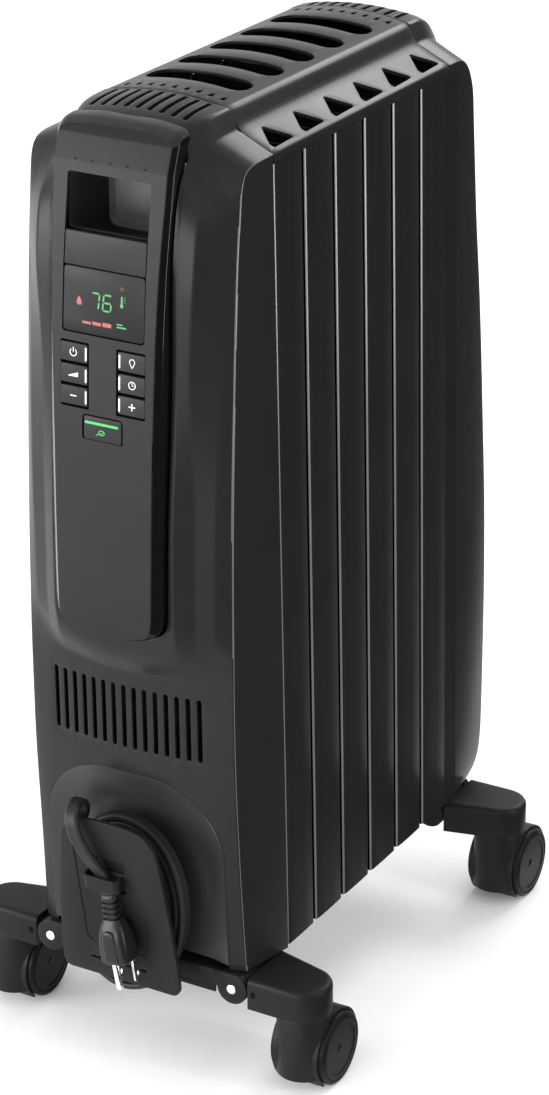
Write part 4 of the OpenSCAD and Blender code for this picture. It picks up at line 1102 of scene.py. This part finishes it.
def cord_route():
    """Middle of the cord from its sleeve to its plug, with the way its wide side faces."""
    wide = Vector((0, -1, 0))
    route = [((SLEEVE_X + x, y, z), wide)
             for x, y, z in ((0.0, -49.3, 115.0), (0.0, -49.4, 121.0), (0.7, -49.8, 128.0),
                             (2.7, -50.3, 135.5), (6.0, -50.7, 143.0), (10.4, -50.8, 150.0))]
    steps = 24
    # Two turns on the back of the post, winding inwards. The last part steps forward.
    first, cross = round(steps * 0.15), round(steps * 1.55)
    for k in range(first, steps * 2):
        turn = k / steps
        x, z = winding(turn, 134.0, 32.5 - 2.5 * turn, 38.5 - 2.5 * turn)
        t = ease((k - cross) / (steps * 2 - cross))
        xf, zf = winding(turn, 125.0, 25.5, 41.5)
        route.append(((x + (xf - x) * t, -50.8 - 9.7 * t, z + (zf - z) * t), wide))
    # Four turns that grow outwards; the last one hangs lower than the others.
    for k in range(round(steps * 4.05) + 1):
        turn = k / steps
        grow = CORD_THICK * turn
        hang = max(0.0, -math.sin(2 * math.pi * turn)) ** 1.5 if turn > 3 else 0.0
        x, z = winding(turn, 125.0, 25.5 + grow, 41.5 + grow)
        route.append(((x, -60.5 - 3.6 * hang, z - 3.4 * hang), wide))
    # Up the left side, forward over the top of the plate and down its front to the plug.
    across = Vector((-1, 0, 0))
    tail = [(-41.5, -60.6, 157.0), (-37.5, -61.2, 167.0), (-33.0, -62.6, 176.0),
            (-29.6, -65.8, 184.6), (-27.2, -71.5, 191.4), (-25.4, -79.0, 194.6),
            (-23.8, -86.0, 193.2), (-22.0, -90.6, 187.6), (-19.0, -91.4, 178.5),
            (-15.0, -89.8, 169.0), (-9.5, -86.6, 158.2), (-5.0, -83.6, 150.5),
            (-1.8, -83.0, 143.5), (0.4, -84.2, 138.0), (1.6, -84.5, 133.5)]
    for k, point in enumerate(tail):
        t = ease((k + 1) / 6)
        route.append((point, (wide * (1 - t) + across * t).normalized()))
    return [(Vector((p[0], FRONT + p[1], p[2])), w) for p, w in route]


def cord_section():
    """Flat cord with three cores: an oval with two grooves on each wide side."""
    out = []
    for k in range(32):
        a = 2 * math.pi * k / 32
        c, s = math.cos(a), math.sin(a)
        x = CORD_WIDTH / 2 * math.copysign(abs(c) ** 0.72, c)
        y = CORD_THICK / 2 * math.copysign(abs(s) ** 0.62, s)
        y *= 1 - 0.2 * math.exp(-((abs(x) - 1.65) / 0.5) ** 2)
        out.append((x, y))
    return out


def build_cord():
    route = cord_route()
    fine = []
    for k in range((len(route) - 1) * 3 + 1):
        i = min(k // 3, len(route) - 2)
        f = k / 3 - i
        p1, p2 = route[i][0], route[i + 1][0]
        p0 = route[i - 1][0] if i > 0 else p1 * 2 - p2
        p3 = route[i + 2][0] if i + 2 < len(route) else p2 * 2 - p1
        point = 0.5 * (2 * p1 + (p2 - p0) * f + (2 * p0 - 5 * p1 + 4 * p2 - p3) * f * f
                       + (3 * p1 - p0 - 3 * p2 + p3) * f**3)
        fine.append((point, (route[i][1] * (1 - f) + route[i + 1][1] * f).normalized()))
    section = cord_section()
    rows = []
    for k, (point, wide) in enumerate(fine):
        along = (fine[min(k + 1, len(fine) - 1)][0] - fine[max(k - 1, 0)][0]).normalized()
        side = (wide - along * wide.dot(along)).normalized()
        out = side.cross(along)
        rows.append([tuple(point + side * a + out * b) for a, b in section])
    cord = make("mains_cord", capped(rows), CORD, "cord_rubber",
                replaces=["cord_coil", "cord_tube"], angle=60)
    return cord, [p for p, _ in fine]


def superellipse(x, y, cy, power, steps=36):
    out = []
    for k in range(steps):
        a = 2 * math.pi * k / steps
        c, s = math.cos(a), math.sin(a)
        out.append((x * math.copysign(abs(c) ** power, c),
                    cy + y * math.copysign(abs(s) ** power, s)))
    return out


def build_plug():
    # Segmented relief, then the grip that widens to the face of the plug.
    sections = [(1.5, 5.0, 2.9, 0.7), (0.2, 5.2, 3.1, 0.7)]
    for k in range(4):
        z, x, y = -0.6 - 3.7 * k, 5.3 + 0.15 * k, 3.6 + 0.25 * k
        sections += [(z, x, y, 0.62), (z - 2.2, x, y, 0.62), (z - 2.5, x - 1.5, y - 1.1, 0.62),
                     (z - 3.5, x - 1.5, y - 1.1, 0.62)]
    sections += [(-15.4, 6.0, 4.8, 0.62), (-17, 6.8, 5.3, 0.6), (-20, 8.4, 7.0, 0.6),
                 (-25, 9.7, 8.6, 0.58), (-30, 10.3, 9.4, 0.56), (-36, 10.5, 9.75, 0.54),
                 (-42.5, 10.5, 9.75, 0.52), (-44.2, 10.2, 9.5, 0.52), (-45.0, 9.3, 8.7, 0.52)]
    rows = []
    for z, x, y, power in sections:
        lean = -0.25 * min(1.0, max(0.0, (-z - 15) / 10))
        rows.append([(a, b, z) for a, b in superellipse(x, y, lean, power)])
    body = make("plug_grip", moved(capped(rows), AT_PLUG), PLUG, "cord_rubber",
                replaces=["plug_body"], angle=30)
    # Arched thumb grips raised on the front and the back.
    for s, label, sunk in ((-1, "front", 0.4), (1, "back", 0.9)):
        rows = []
        for inset, height in ((0.0, 8.4), (0.0, 9.9), (0.5, 10.5), (1.3, 10.9), (2.6, 11.1)):
            arch = rounded([(-5.6 + inset, -43.2 + inset), (5.6 - inset, -43.2 + inset),
                            (4.6 - inset, -21.5 - inset), (-4.6 + inset, -21.5 - inset)],
                           [1.2, 1.2, 4.2 - inset, 4.2 - inset], 6)
            rows.append([(a, s * (height - sunk) - 0.25 - 0.048 * s * max(0.0, b + 43), b)
                         for a, b in arch])
        make(f"plug_thumb_{label}", moved(capped(rows), AT_PLUG), PLUG, "cord_rubber", angle=40)
    shapes = [prism(rounded([(2.65, -44.8), (2.65, -62), (8.95, -62), (8.95, -44.8)],
                            [0, 1.4, 1.4, 0], 4), x - 0.75, x + 0.75, "x") for x in (-6.35, 6.35)]
    earth = [(2.4, -44.8), (2.4, -61.5), (2.1, -62.8), (1.3, -63.7), (0.2, -64.0)]
    shapes.append(lathe(earth, "z", (0, -6.1, 0), 28))
    prongs = make("plug_pins", moved(group(*shapes), AT_PLUG), CHROME, "bright_metal",
                  replaces=["plug_prongs"])
    cut(prongs, moved(lathe([(1.6, -12), (1.6, 12)], "x", (0, 5.8, -57.2), 20), AT_PLUG))
    bevel(prongs, 0.25)
    return body, prongs


# ---- build

mains_cord, cord_middle = build_cord()
plug_grip, plug_pins = build_plug()
build_sleeve()
build_plate()
build_front_cover()
build_cover("rear_cover", REAR_ROWS, REAR, 1)
build_grille()
for index in range(1, 8):
    build_fin(index)
build_panel()
build_hold()
build_face_tiles()
build_display()
build_buttons()
for corner in CORNERS:
    build_arm(*corner)
    build_castor(*corner)
for end_name, end_side in (("front", -1), ("rear", 1)):
    build_bracket(f"{end_name}_bracket", end_side)
    build_pins(f"hinge_pins_{end_name}", end_side)

# Nodes that keep their CAD shape.
# The boards are painted nearly black as painted shade.
for name, mat in (("hub_plugs", STEEL), ("heating_element", STEEL), ("thermal_cutout", STEEL),
                  ("display_board", BOARD_PAINTED_SHADE), ("power_board", BOARD_PAINTED_SHADE), ("wrap_post", BASE)):
    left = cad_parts[name]
    left.data.materials.clear()
    left.data.materials.append(mat)

# ---- floor, light, camera

floor = mesh_object("floor", ([(x, y, 0) for x, y in rect(-6000, -6000, 6000, 6000)],
                              [[0, 1, 2, 3]]))
floor.data.materials.append(shader("studio_floor", (0.92, 0.92, 0.92), 0.8, spec=0.0)[0])

# A black flag out of sight to the right: the glossy sides mirror it in place of the white floor.
flag = mesh_object("flag", (
    [(160, -300, 1), (1000, -2600, 1), (3200, -2600, 1), (3200, 3200, 1), (160, 3200, 1),
     (1000, -2600, 1600), (3200, -2600, 1600), (3200, 3200, 1600), (900, 3200, 1600),
     (900, 3200, 1)], [[0, 1, 2, 3, 4], [1, 5, 6, 2], [2, 6, 7, 3], [3, 7, 8, 9]]))
flag.data.materials.append(shader("flag_cloth", (0.01, 0.01, 0.01), 0.9, spec=0.0)[0])
for ray in ("camera", "diffuse", "transmission", "volume_scatter", "shadow"):
    setattr(flag, f"visible_{ray}", False)

world = bpy.data.worlds.new("studio")
bpy.context.scene.world = world
world.use_nodes = True
world.node_tree.nodes["Background"].inputs["Color"].default_value = (1, 1, 1, 1)
world.node_tree.nodes["Background"].inputs["Strength"].default_value = 1.08


def soft_box(name, at, aim, size, watts):
    light = bpy.data.lights.new(name, "AREA")
    light.shape = "RECTANGLE"
    light.size, light.size_y = size
    light.energy = watts
    obj = bpy.data.objects.new(name, light)
    bpy.context.scene.collection.objects.link(obj)
    obj.location = at
    obj.rotation_euler = (Vector(aim) - Vector(at)).to_track_quat("-Z", "Y").to_euler()
    obj.visible_camera = False
    return obj


soft_box("key", (-1.75, -1.9, 0.75), (0, -0.1, 0.32), (1.5, 1.3), 70)
soft_box("front", (-0.25, -2.7, 0.45), (0, -0.1, 0.4), (1.3, 0.8), 30)
soft_box("back", (0.2, 2.3, 2.1), (0, 0, 0.5), (1.6, 0.9), 40)
soft_box("edge", (1.5, 0.0, 0.4), (0.07, -0.15, 0.35), (0.12, 0.8), 7)

camera = bpy.data.cameras.new("camera")
camera.lens = 108.06
camera.sensor_width = 36.0
camera_obj = bpy.data.objects.new("camera", camera)
bpy.context.scene.collection.objects.link(camera_obj)
back = Vector((0.4548, -0.7969, 0.3976)).normalized()
right = Vector((0, 0, 1)).cross(back).normalized()
turn = Matrix((right, back.cross(right), back)).transposed().to_4x4()
camera_place = Vector((1.0041, -1.7434 + MID_Y * MM, 1.1757))
camera_obj.matrix_world = Matrix.Translation(camera_place) @ turn
bpy.context.scene.camera = camera_obj
bpy.context.scene.view_settings.view_transform = "Standard"
